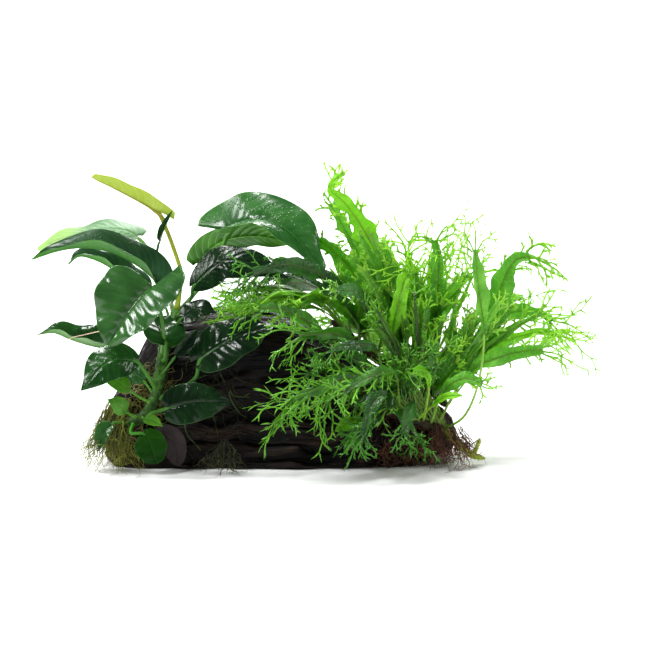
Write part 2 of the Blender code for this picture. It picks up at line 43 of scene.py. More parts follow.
fullTurn = 6.28  # radians, near enough for a random phase
print("stage: frame loaded with", len(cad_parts), "solids")


# Camera, floor and lights

camera = dict(target=(24.0, 0.0, 80.0), distance=2000.0, elevation=10.0, seenWidth=390.0, sensor=36.0)

studio = dict(
    floorHalf=9.0,
    floorColor=(0.93, 0.93, 0.93),
    worldColor=(1.0, 1.0, 1.0),
    worldStrength=0.16,
    sunStrength=3.3,
    sunFrom=(-0.22, 0.12, 1.0),
    sunAngle=15.0,
    softboxes=(
        dict(name="softbox_left", at=(-1.2, -1.2, 1.5), size=(0.22, 0.26), power=18.0),
        dict(name="softbox_back", at=(0.2, 1.5, 1.1), size=(1.2, 0.5), power=30.0),
        dict(name="softbox_right", at=(1.3, -1.1, 1.1), size=(0.16, 0.36), power=8.0),
        dict(name="softbox_side", at=(-1.52, 0.0, 1.28), size=(0.62, 0.5), power=26.0),
    ),
)


def addCamera():
    # The camera stands in front and a little above its target, at the picture's own angle.
    tilt = math.radians(camera["elevation"])
    back = Vector((0.0, -math.cos(tilt), math.sin(tilt)))
    lens = bpy.data.cameras.new("camera")
    lens.sensor_width = camera["sensor"]
    lens.lens = camera["sensor"] * camera["distance"] / camera["seenWidth"]
    lens.clip_end = 60.0
    made = bpy.data.objects.new("camera", lens)
    made.location = (Vector(camera["target"]) + back * camera["distance"]) * mm
    made.rotation_euler = (-back).to_track_quat("-Z", "Y").to_euler()
    bpy.context.scene.collection.objects.link(made)
    bpy.context.scene.camera = made


def addLight(kind, name, at, strength):
    light = bpy.data.lights.new(name, kind)
    light.energy = strength
    made = bpy.data.objects.new(name, light)
    made.location = at
    aim = Vector(camera["target"]) * mm - Vector(at)
    made.rotation_euler = aim.to_track_quat("-Z", "Y").to_euler()
    bpy.context.scene.collection.objects.link(made)
    return light


def addStudio():
    # One square of pale floor, an even pale sky, a soft sun and four softboxes.
    half = studio["floorHalf"]
    corners = [(-half, -half, 0.0), (half, -half, 0.0), (half, half, 0.0), (-half, half, 0.0)]
    mesh = bpy.data.meshes.new("floor")
    mesh.from_pydata(corners, [], [(0, 1, 2, 3)])
    floor = bpy.data.objects.new("floor", mesh)
    bpy.context.scene.collection.objects.link(floor)
    paint = bpy.data.materials.new("floor_paint")
    paint.use_nodes = True
    surface = paint.node_tree.nodes["Principled BSDF"]
    surface.inputs["Base Color"].default_value = (*studio["floorColor"], 1.0)
    surface.inputs["Roughness"].default_value = 0.9
    surface.inputs["Specular IOR Level"].default_value = 0.1
    mesh.materials.append(paint)
    world = bpy.data.worlds.new("studio_world")
    world.use_nodes = True
    sky = world.node_tree.nodes["Background"]
    sky.inputs["Color"].default_value = (*studio["worldColor"], 1.0)
    sky.inputs["Strength"].default_value = studio["worldStrength"]
    bpy.context.scene.world = world
    bpy.context.scene.view_settings.view_transform = "Standard"
    sun = addLight("SUN", "soft_sun", Vector(studio["sunFrom"]) * 4.0, studio["sunStrength"])
    sun.angle = math.radians(studio["sunAngle"])
    for box in studio["softboxes"]:
        light = addLight("AREA", box["name"], box["at"], box["power"])
        light.shape = "RECTANGLE"
        light.size, light.size_y = box["size"]


addCamera()
addStudio()
print("stage: camera, floor and lights")


# Shared shape making: every shape is a dict of points, face lists and marks, one value of each mark a point


def unit(vectors):
    # Each vector over its own length.
    return vectors / np.maximum(np.linalg.norm(vectors, axis=-1, keepdims=True), 1e-9)


def normalsOf(grid):
    # The cross product of a surface's steps down its rows and along its columns, as unit vectors.
    return unit(np.cross(np.gradient(grid, axis=0), np.gradient(grid, axis=1)))


def mirrored(columns):
    # Columns from one edge of a blade over its middle to the other, from -1 to 1, as one row.
    half = np.array(columns)
    return np.concatenate([-half[:0:-1], half])[None, :]


def smooth(values):
    # 0 below 0, 1 above 1, and an even curve between.
    held = np.clip(values, 0.0, 1.0)
    return held * held * (3.0 - 2.0 * held)


def seedOf(name):
    # One whole number for each name, so that every piece has random values of its own, the same each time.
    return sum(ord(letter) * (place + 7) for place, letter in enumerate(name))


def through(points, steps):
    # A Catmull-Rom curve through the points, read at even shares of its length.
    knots = np.array(points, float)
    ends = np.vstack([2 * knots[0] - knots[1], knots, 2 * knots[-1] - knots[-2]])
    t = np.linspace(0, len(knots) - 1, 200 * len(knots))
    i = np.minimum(t.astype(int), len(knots) - 2)
    f = (t - i)[:, None]
    a, b, c, d = ends[i], ends[i + 1], ends[i + 2], ends[i + 3]
    curve = 0.5 * (2 * b + (c - a) * f + (2 * a - 5 * b + 4 * c - d) * f**2 + (3 * b - a - 3 * c + d) * f**3)
    length = np.concatenate([[0], np.cumsum(np.linalg.norm(np.diff(curve, axis=0), axis=1))])
    want = np.asarray(steps) * length[-1]
    return np.stack([np.interp(want, length, curve[:, k]) for k in range(3)], axis=-1), length[-1]


def frames(line, facing):
    # Direction, side and upward normal along lines, for a blade whose upper face looks to facing.
    ahead = unit(np.gradient(line, axis=-2))
    side = unit(np.cross(np.asarray(facing, float), ahead))
    return ahead, side, np.cross(ahead, side)


def noiseAt(x, y, seed, wrap=0):
    # Value noise from -1 to 1: random values at whole x and y, blended by a smooth step, wrapping in y.
    table = np.random.default_rng(seed).uniform(-1.0, 1.0, (512, 512))
    i, j = np.floor(x).astype(int), np.floor(y).astype(int)
    u, v = smooth(x - i), smooth(y - j)
    j0, j1 = (j % wrap, (j + 1) % wrap) if wrap else (j, j + 1)
    low = table[i % 512, j0 % 512] * (1 - u) + table[(i + 1) % 512, j0 % 512] * u
    high = table[i % 512, j1 % 512] * (1 - u) + table[(i + 1) % 512, j1 % 512] * u
    return low * (1 - v) + high * v


def joined(shapes):
    # Several shapes as one: points end to end, face numbers moved on, missing marks as zero.
    names = sorted({name for shape in shapes for name in shape["marks"]})
    starts = np.cumsum([0] + [len(shape["points"]) for shape in shapes])
    marks = {}
    for name in names:
        known = [shape["marks"].get(name, np.zeros(len(shape["points"]))) for shape in shapes]
        marks[name] = np.concatenate(known)
    return dict(
        points=np.concatenate([shape["points"] for shape in shapes]),
        faces=[face + start for shape, start in zip(shapes, starts) for face in shape["faces"]],
        marks=marks,
    )


def tubes(paths, wide, deep, facing, sides):
    # Many closed tubes at once: an ellipse carried along each path, flat at both ends.
    _, side, up = frames(paths, facing)
    turn = np.linspace(0, 2 * math.pi, sides, endpoint=False)
    ring = paths[:, :, None] + (wide[..., None] * np.cos(turn))[..., None] * side[:, :, None]
    ring = ring + (deep[..., None] * np.sin(turn))[..., None] * up[:, :, None]
    count, stations = paths.shape[:2]
    number = np.arange(count * stations * sides).reshape(count, stations, sides)
    beside = np.roll(number, -1, axis=2)
    quads = np.stack([number[:, :-1], beside[:, :-1], beside[:, 1:], number[:, 1:]], axis=-1)
    caps = np.concatenate([number[:, 0, ::-1], number[:, -1]])
    share = np.broadcast_to(np.linspace(0, 1, stations)[None, :, None], ring.shape[:3])
    faces = [quads.reshape(-1, 4), caps]
    return dict(points=ring.reshape(-1, 3), faces=faces, marks={"share": share.ravel()})


def shell(top, thick, marks):
    # A thin closed sheet: the top grid, the same grid moved in by the thickness, and a rim round both.
    rows, columns = top.shape[:2]
    under = top - thick[..., None] * normalsOf(top)
    number = np.arange(rows * columns).reshape(rows, columns)
    a, b, c, d = number[:-1, :-1], number[1:, :-1], number[1:, 1:], number[:-1, 1:]
    upper = np.stack([a, b, c, d], axis=-1).reshape(-1, 4)
    lower = np.stack([d, c, b, a], axis=-1).reshape(-1, 4) + rows * columns
    edge = np.concatenate([number[:-1, 0], number[-1, :-1], number[:0:-1, -1], number[0, :0:-1]])
    after = np.roll(edge, -1)
    rim = np.stack([after, edge, edge + rows * columns, after + rows * columns], axis=-1)
    both = {
        name: np.tile(np.broadcast_to(values, (rows, columns)).ravel(), 2) for name, values in marks.items()
    }
    both["under"] = np.repeat([0.0, 1.0], rows * columns)
    points = np.concatenate([top.reshape(-1, 3), under.reshape(-1, 3)])
    return dict(points=points, faces=[upper, lower, rim], marks=both)


def addPiece(name, shape, material, slotName, *nodes):
    # Puts a shape's arrays into one mesh object, which stands for the CAD nodes that are named.
    mesh = bpy.data.meshes.new(name)
    loops = np.concatenate([face.ravel() for face in shape["faces"]]).astype(np.int32)
    sizes = np.concatenate([np.full(len(face), face.shape[1]) for face in shape["faces"]])
    starts = (np.cumsum(sizes) - sizes).astype(np.int32)
    mesh.vertices.add(len(shape["points"]))
    mesh.vertices.foreach_set("co", (shape["points"] * mm).astype(np.float32).ravel())
    mesh.loops.add(len(loops))
    mesh.loops.foreach_set("vertex_index", loops)
    mesh.polygons.add(len(sizes))
    mesh.polygons.foreach_set("loop_start", starts)
    mesh.update(calc_edges=True)
    for mark, values in shape["marks"].items():
        layer = mesh.attributes.new(mark, "FLOAT", "POINT")
        layer.data.foreach_set("value", values.astype(np.float32))
    mesh.materials.append(material)
    mesh.shade_smooth()
    made = bpy.data.objects.new(name, mesh)
    bpy.context.scene.collection.objects.link(made)
    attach(made, "root")
    if nodes:
        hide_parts(*nodes)


# Materials: small helpers that add one node each


def put(tree, kind, inputs=None, **settings):
    made = tree.nodes.new(kind)
    for key, value in settings.items():
        setattr(made, key, value)
    for key, value in (inputs or {}).items():
        if isinstance(value, bpy.types.NodeSocket):
            tree.links.new(value, made.inputs[key])
        else:
            made.inputs[key].default_value = value
    return made


def startMaterial(name):
    material = bpy.data.materials.new(name)
    material.use_nodes = True
    material.node_tree.nodes.clear()
    return material, material.node_tree


def place(tree, scale=(1.0, 1.0, 1.0)):
    # Object coordinates, drawn out along an axis by a smaller scale.
    spot = put(tree, "ShaderNodeTexCoord").outputs["Object"]
    return put(tree, "ShaderNodeMapping", {"Vector": spot, "Scale": scale}).outputs["Vector"]


def noise(tree, where, scale, detail=3.0, distortion=0.0):
    values = {"Vector": where, "Scale": scale, "Detail": detail, "Distortion": distortion}
    return put(tree, "ShaderNodeTexNoise", values).outputs["Fac"]


def cells(tree, where, scale, feature):
    # Distance to the edge of each cell, or to its middle with F1.
    values = {"Vector": where, "Scale": scale}
    return put(tree, "ShaderNodeTexVoronoi", values, feature=feature).outputs["Distance"]


def ramp(tree, value, low, high, toLow=0.0, toHigh=1.0):
    values = {"Value": value, "From Min": low, "From Max": high, "To Min": toLow, "To Max": toHigh}
    return put(tree, "ShaderNodeMapRange", values, interpolation_type="SMOOTHSTEP").outputs["Result"]


def maths(tree, operation, first, second=0.0):
    return put(tree, "ShaderNodeMath", {0: first, 1: second}, operation=operation).outputs[0]


def times(tree, first, second):
    return maths(tree, "MULTIPLY", first, second)


def mark(tree, name):
    return put(tree, "ShaderNodeAttribute", attribute_name=name).outputs["Fac"]


def blend(tree, share, first, second):
    # Colour that goes from first to second as share goes from 0 to 1.
    first = (*first, 1.0) if isinstance(first, tuple) else first
    second = (*second, 1.0) if isinstance(second, tuple) else second
    return put(tree, "ShaderNodeMix", {0: share, 6: first, 7: second}, data_type="RGBA").outputs[2]


def bump(tree, height, strength, distance, normal=None):
    values = {"Height": height, "Strength": strength, "Distance": distance}
    if normal is not None:
        values["Normal"] = normal
    return put(tree, "ShaderNodeBump", values).outputs["Normal"]


def endMaterial(tree, color, rough, normal, specular=0.3, clear=0.0, glow=(0.0, 0.0, 0.0)):
    # A Principled surface, mixed with a Translucent one where light comes through the leaf.
    values = {"Base Color": color, "Roughness": rough, "Normal": normal, "Specular IOR Level": specular}
    surface = put(tree, "ShaderNodeBsdfPrincipled", values).outputs["BSDF"]
    if clear:
        values = {"Color": (*glow, 1.0), "Normal": normal}
        light = put(tree, "ShaderNodeBsdfTranslucent", values).outputs["BSDF"]
        surface = put(tree, "ShaderNodeMixShader", {0: clear, 1: surface, 2: light}).outputs["Shader"]
    put(tree, "ShaderNodeOutputMaterial", {"Surface": surface})


# Driftwood: dark, layered and split along its length

wood = dict(
    # x, underside (z), ledge's front (y), ledge's top (z), recess (y), lip (z), top (z), top (y), back (y)
    sections=(
        (-106, 5, -20, 17, -17, 22, 27, 0, 16),
        (-101, 0, -31, 21, -25, 31, 37, 2, 26),
        (-91, 0, -35, 22, -28, 42, 52, 4, 31),
        (-80, 0, -37, 20, -31, 50, 73, 8, 35),
        (-68, 0, -37, 23, -29, 57, 82, 9, 36),
        (-54, 0, -39, 26, -26, 62, 84, 11, 39),
        (-40, 0, -36, 22, -26, 65, 88, 11, 37),
        (-27, 0, -38, 26, -24, 67, 86, 13, 40),
        (-14, 0, -38, 24, -25, 68, 89, 12, 37),
        (10, 0, -40, 26, -23, 64, 82, 12, 38),
        (24, 0, -37, 23, -25, 59, 74, 11, 38),
        (40, 0, -38, 26, -24, 49, 60, 10, 35),
        (55, 0, -35, 23, -25, 43, 52, 9, 36),
        (70, 0, -34, 22, -25, 37, 42, 8, 33),
        (82, 2, -31, 21, -23, 31, 37, 6, 28),
        (92, 5, -26, 18, -20, 26, 30, 3, 24),
        (100, 8, -17, 15, -13, 19, 22, 2, 14),
    ),
    endScales=(0.06, 0.3, 0.55),  # rings that close each broken end, from its middle outwards
    endDepth=3.0,
    along=216,
    around=384,
    # each layer of relief: length along the grain, width across it, height
    lumps=(30.0, 15.0, 1.5),
    fibres=(22.0, 3.0, 0.85),
    threads=(7.0, 1.3, 0.55),
    cracks=dict(length=40.0, width=7.0, depth=2.6, sharp=0.08, patchLength=26.0, patchWidth=20.0),
    sway=(70.0, 40.0, 0.8),  # how the fibres wander: length, width, share of a fibre
    girth=230.0,
    beforeStart=400.0,  # added to X, so that the noise is read at positive places
    flatFoot=6.0,  # the relief fades out over this height above the floor
    stretch=(0.1, 1.0, 1.0),  # the streaks are drawn out along X
    streaks=420.0,  # to a metre, before they are drawn out
    patches=34.0,
    fine=1500.0,
    dark=((0.0022, 0.0018, 0.0018), (0.014, 0.01, 0.008)),
    brown=((0.006, 0.0044, 0.0036), (0.042, 0.026, 0.019)),
    stain=(0.05, 0.03, 0.018),
    # painted shade: the colour that darkens the cracks and hollows
    hollow=(0.0012, 0.001, 0.0009),
)


def woodSection(x, under, front, ledge, recess, lip, top, topY, back):
    # Points round one cross-section, from the front foot over the ledge, recess and crest to the back foot.
    outline = (
        (0.86 * front, under),
        (front, under + 0.22 * ledge),
        (front + 1.0, 0.62 * ledge),
        (front + 3.0, 0.94 * ledge),
        (recess - 4.0, ledge + 1.0),
        (recess + 1.0, ledge + 4.0),
        (recess + 3.0, 0.5 * (ledge + lip) + 2.0),
        (recess + 0.5, lip - 3.0),
        (recess - 2.0, lip + 0.5),
        (recess + 3.0, lip + 0.35 * (top - lip)),
        (0.45 * recess, lip + 0.75 * (top - lip)),
        (topY - 6.0, top),
        (topY + 7.0, top - 1.0),
        (0.80 * back, 0.74 * top),
        (back, 0.44 * top),
        (back - 1.0, 0.16 * top),
        (0.82 * back, under),
    )
    return [(x, y, z) for y, z in outline]


def splineRows(rows, where, closed):
    # Catmull-Rom through rows of points at fractional row numbers, held at the ends or going round.
    i = np.floor(where).astype(int)
    f = (where - i).reshape(-1, *([1] * (rows.ndim - 1)))
    pick = [i + step for step in (-1, 0, 1, 2)]
    pick = [p % len(rows) if closed else np.clip(p, 0, len(rows) - 1) for p in pick]
    a, b, c, d = (rows[p] for p in pick)
    return 0.5 * (2 * b + (c - a) * f + (2 * a - 5 * b + 4 * c - d) * f**2 + (3 * b - a - 3 * c + d) * f**3)


def woodShape():
    # Sections carried along X and joined by smooth curves both ways, then moved along the normal by relief.
    rings = [np.array(woodSection(*section), float) for section in wood["sections"]]
    for end, step in ((0, 1), (-1, -1)):
        outer, middle = rings[end], rings[end].mean(axis=0)
        for scale in reversed(wood["endScales"]):
            ring = middle + scale * (outer - middle)
            ring[:, 0] += step * wood["endDepth"] * np.cos(3 * np.arange(len(ring)))
            rings.insert(0 if step == 1 else len(rings), ring)
    rings = np.array(rings)
    lengthwise = splineRows(rings, np.linspace(0, len(rings) - 1.001, wood["along"]), False)
    turns = np.linspace(0, rings.shape[1], wood["around"], endpoint=False)
    grid = splineRows(lengthwise.transpose(1, 0, 2), turns, True).transpose(1, 0, 2)
    x = grid[..., 0] + wood["beforeStart"]
    s = np.broadcast_to(turns / rings.shape[1], x.shape)

    def layer(length, width, seed, bend=0.0):
        # Noise whose whole number of cells goes once round the wood, so that it closes on itself.
        turnsInto = max(3, int(round(wood["girth"] / width)))
        return noiseAt(x / length, s * turnsInto + bend, seed, turnsInto)

    swayLength, swayWidth, swayShare = wood["sway"]
    sway = swayShare * layer(swayLength, swayWidth, 3)
    lumpLength, lumpWidth, lumpHeight = wood["lumps"]
    fibreLength, fibreWidth, fibreHeight = wood["fibres"]
    threadLength, threadWidth, threadHeight = wood["threads"]
    crack = wood["cracks"]
    relief = lumpHeight * layer(lumpLength, lumpWidth, 11)
    relief = relief + fibreHeight * (0.45 - np.abs(layer(fibreLength, fibreWidth, 12, sway)) ** 0.6)
    relief = relief + threadHeight * (0.4 - np.abs(layer(threadLength, threadWidth, 13, 2 * sway)) ** 0.7)
    split = np.abs(layer(crack["length"], crack["width"], 14, sway)) / crack["sharp"]
    cracked = smooth(0.4 + 2 * layer(crack["patchLength"], crack["patchWidth"], 15))
    relief = relief - crack["depth"] * np.exp(-split**2) * cracked
    foot = smooth(grid[..., 2] / wood["flatFoot"])
    grid = grid + (relief * foot)[..., None] * normalsOf(grid)
    grid[..., 2] = np.maximum(grid[..., 2], 0.0)
    rows, columns = grid.shape[:2]
    number = np.arange(rows * columns).reshape(rows, columns)
    beside = np.roll(number, -1, axis=1)
    quads = np.stack([number[:-1], number[1:], beside[1:], beside[:-1]], axis=-1).reshape(-1, 4)
    ends = [number[:1], number[-1:, ::-1]]
    # how far down each point sits in a crack or hollow, which sets the painted shade there
    hollow = smooth(0.5 - relief / 2.5)
    return dict(points=grid.reshape(-1, 3), faces=[quads, *ends], marks={"hollow": hollow.ravel()})


def woodMaterial():
    # Nearly black wet wood: brown on the raised ledge, fibre streaks along X, and painted shade that darkens
    # its cracks and hollows.
    material, tree = startMaterial("driftwood_wet_wood")
    grain = place(tree, wood["stretch"])
    streak = noise(tree, grain, wood["streaks"], 5.0, 0.4)
    patch = noise(tree, place(tree), wood["patches"], 3.0)
    fine = noise(tree, grain, wood["fine"], 4.0)
    height = put(tree, "ShaderNodeSeparateXYZ", {0: place(tree)}).outputs["Z"]
    ledge = ramp(tree, height, 0.03, 0.018)
    dark = blend(tree, ramp(tree, streak, 0.3, 0.75), *wood["dark"])
    brown = blend(tree, ramp(tree, streak, 0.35, 0.7), *wood["brown"])
    color = blend(tree, times(tree, ledge, ramp(tree, patch, 0.35, 0.6)), dark, brown)
    color = blend(tree, ramp(tree, patch, 0.62, 0.75, 0.0, 0.25), color, wood["stain"])
    # painted shade in the cracks and hollows
    color = blend(tree, ramp(tree, mark(tree, "hollow"), 0.45, 0.95), color, wood["hollow"])
    rough = ramp(tree, streak, 0.3, 0.8, 0.26, 0.75)
    relief = bump(tree, streak, 0.9, 0.0012)
    relief = bump(tree, fine, 0.6, 0.0005, relief)
    endMaterial(tree, color, rough, relief, specular=0.09)
    return material


def frontMap(points):
    # The foremost Y of the wood in each square millimetre of the front view. Empty ones take a neighbour's.
    x = np.round(points[:, 0] - woodMap["left"]).astype(int)
    z = np.round(points[:, 2]).astype(int)
    found = np.full(woodMap["size"], np.inf)
    np.minimum.at(found, (x, z), points[:, 1])
    for _ in range(3):
        for step, axis in ((1, 0), (-1, 0), (1, 1), (-1, 1)):
            found = np.where(np.isinf(found), np.roll(found, step, axis), found)
    return np.where(np.isinf(found), woodMap["behind"], found)


def woodFront(x, z):
    # Y of the wood's front at x and z, between the four nearest squares of the map.
    i = np.clip(x - woodMap["left"], 0, woodMap["size"][0] - 1.01)
    j = np.clip(z, 0, woodMap["size"][1] - 1.01)
    low, down = i.astype(int), j.astype(int)
    f, g = i - low, j - down
    near = woodFronts[low, down] * (1 - f) + woodFronts[low + 1, down] * f
    far = woodFronts[low, down + 1] * (1 - f) + woodFronts[low + 1, down + 1] * f
    return near * (1 - g) + far * g


woodMap = dict(left=-125.0, size=(250, 110), behind=10.0)
woodMade = woodShape()
woodFronts = frontMap(woodMade["points"])
addPiece("driftwood_surface", woodMade, woodMaterial(), "driftwood", "driftwood")
print("stage: driftwood")


# Creeping stems of both plants, with leaf scars and short hairs

# radius, and how deep in the bark the stalks start; gap and depth of the rings of leaf scars; number and
# length of hairs; shares of the length between which old bark turns young; share by which the end thins
stems = {
    "anubias": dict(
        solid="anubias_rhizome", piece="anubias_stem", slot="anubias_stem", radius=3.6, inset=2.2,
        ringGap=5.2, ringDepth=0.16, hairs=240, hairLength=1.6, fresh=(0.25, 0.7), thinner=0.0,
        route=((-95, -40, 27), (-83, -43, 33), (-76, -42, 44), (-73, -37, 59), (-70, -27, 76), (-63, -9, 92)),
    ),
    "front": dict(
        solid="fern_rhizome_front", piece="fern_stem_front", slot="fern_stem", radius=3.0, inset=1.6,
        ringGap=2.6, ringDepth=0.07, hairs=900, hairLength=1.7, fresh=(0.62, 0.74), thinner=0.5,
        branch=((111, -24, 4), (114, -24.5, 9), (116.5, -24, 16)), branchRadius=1.3,
        route=(
            (34, -31, 42), (52, -32, 37), (67, -32, 32), (82, -31, 26), (95, -27, 20), (105, -24, 11),
            (112, -23, 5), (120, -23, 3),
        ),
    ),
    "top": dict(
        solid="fern_rhizome_top", piece="fern_stem_top", slot="fern_stem", radius=3.0, inset=1.6,
        ringGap=2.6, ringDepth=0.07, hairs=500, hairLength=2.0, fresh=(1.2, 1.5), thinner=0.0,
        route=((28, 17, 80), (48, 16, 62), (66, 14, 50), (84, 10, 41), (98, 2, 30)),
    ),
}
bark = dict(
    station=0.6,  # millimetres between rings
    sides=22,
    lumps=0.07,
    branchThinner=0.5,
    hairThick=0.09,
    hairBend=0.35,
    hairLean=0.5,
    patches=260.0,  # to a metre
    fine=1400.0,
)


def startOn(stem, share, towards):
    # The point in a creeping stem's bark where a stalk starts, on the side that the stalk leaves to.
    line, _ = through(stem["route"], np.linspace(0, 1, 101))
    at = int(round(share * 100))
    along = unit(line[min(at + 1, 100)] - line[max(at - 1, 0)])
    away = np.array(towards, float) - line[at]
    away = unit(away - along * np.dot(away, along))
    return line[at] + away * (stem["radius"] - stem["inset"])


def hairsOn(rng, points, normals, length):
    # One short bent hair at each point, standing on its normal, three-sided and pointed.
    s = np.linspace(0, 1, 4)
    lean = unit(normals + rng.normal(0, bark["hairLean"], normals.shape))
    sway = rng.normal(0, bark["hairBend"], normals.shape)
    reach = (length * rng.uniform(0.5, 1.2, len(points)))[:, None, None]
    paths = points[:, None] + reach * (lean[:, None] * s[:, None] + sway[:, None] * (s**2)[:, None])
    girth = np.broadcast_to(bark["hairThick"] * (1 - 0.85 * s), paths.shape[:2])
    return tubes(paths, girth, girth, rng.normal(0, 1, (len(points), 1, 3)), 3)


def stemShape(stem):
    # A stem and, where it has one, its side branch.
    rng = np.random.default_rng(seedOf(stem["solid"]))
    parts = [(stem["route"], stem["radius"], stem["thinner"], stem["fresh"], stem["hairs"])]
    if "branch" in stem:
        hairs = stem["hairs"] // 8
        parts.append((stem["branch"], stem["branchRadius"], bark["branchThinner"], (-1, 0), hairs))
    return joined([stemTube(rng, stem, *part) for part in parts])


def stemTube(rng, stem, route, girth, thinner, fresh, hairCount):
    # A tube whose radius steps at each leaf scar and wanders with noise round and along it, set with hairs.
    # It thins by `thinner` at its end, and `young` rises from 0 to 1 between the two shares of its length
    # in `fresh`.
    _, length = through(route, [0, 1])
    stations, sides = int(length / bark["station"]), bark["sides"]
    line, _ = through(route, np.linspace(0, 1, stations))
    s = np.linspace(0, length, stations)
    ring = (s / stem["ringGap"] + 0.15 * np.sin(s)) % 1.0
    ends = np.sqrt(np.clip(1 - (np.abs(2 * s / length - 1)) ** 14, 0.02, 1))
    ends = ends * (1 - thinner * smooth((s / length - 0.75) / 0.25))
    radius = girth * ends * (0.95 + stem["ringDepth"] * (ring**2 - 0.3))
    body = tubes(line[None], radius[None], radius[None], (0.1, -1.0, 0.4), sides)
    points = body["points"].reshape(stations, sides, 3)
    lumps = noiseAt(s[:, None] / 2.3, np.arange(sides)[None] / 3.0, 21, 7)
    lumps = lumps + 0.5 * noiseAt(s[:, None] / 0.9, np.arange(sides)[None] / 1.2, 22, 18)
    points = line[:, None] + (points - line[:, None]) * (1 + bark["lumps"] * lumps[..., None])
    body["points"] = points.reshape(-1, 3)
    growth = smooth((s / length - fresh[0]) / (fresh[1] - fresh[0]))
    body["marks"] = {"ring": np.repeat(ring, sides), "young": np.repeat(growth, sides)}
    picked = rng.integers(2 * sides, (stations - 2) * sides, hairCount)
    roots = body["points"][picked]
    away = unit(roots - line[picked // sides])
    hairs = hairsOn(rng, roots - 0.1 * away, away, stem["hairLength"])
    each = len(hairs["points"]) // hairCount
    young = np.repeat(growth[picked // sides], each)
    hairs["marks"] = {"hair": np.ones(len(hairs["points"])), "young": young}
    return joined([body, hairs])


def stemMaterial(name, old, fresh, scar, hair):
    # Mottled old bark that turns to fresh green on the young end, browner in the rings of old leaf scars,
    # with a colour of its own on the hairs.
    material, tree = startMaterial(name)
    where = place(tree)
    patch = noise(tree, where, bark["patches"], 4.0)
    fine = noise(tree, where, bark["fine"], 3.0)
    mottle = ramp(tree, patch, 0.32, 0.68)
    color = blend(tree, mark(tree, "young"), blend(tree, mottle, *old), blend(tree, mottle, *fresh))
    color = blend(tree, ramp(tree, mark(tree, "ring"), 0.86, 1.0, 0.0, 0.7), color, scar)
    color = blend(tree, mark(tree, "hair"), color, blend(tree, mark(tree, "young"), hair, fresh[0]))
    relief = bump(tree, fine, 0.5, 0.0003)
    endMaterial(tree, color, ramp(tree, patch, 0.3, 0.7, 0.35, 0.6), relief, specular=0.15)
    return material


stemFinishes = {
    "anubias_stem": stemMaterial(
        "anubias_stem_bark", ((0.008, 0.026, 0.004), (0.038, 0.11, 0.014)),
        ((0.024, 0.08, 0.012), (0.07, 0.19, 0.026)), (0.016, 0.012, 0.007), (0.08, 0.065, 0.03),
    ),
    "fern_stem": stemMaterial(
        "fern_stem_bark", ((0.01, 0.007, 0.004), (0.04, 0.028, 0.012)),
        ((0.26, 0.36, 0.03), (0.48, 0.62, 0.07)), (0.06, 0.05, 0.012), (0.07, 0.032, 0.015),
    ),
}
for stem in stems.values():
    addPiece(stem["piece"], stemShape(stem), stemFinishes[stem["slot"]], stem["slot"], stem["solid"])
print("stage: creeping stems")


# Anubias leaves: a round stalk, a blade quilted between its side veins, and a rib beneath

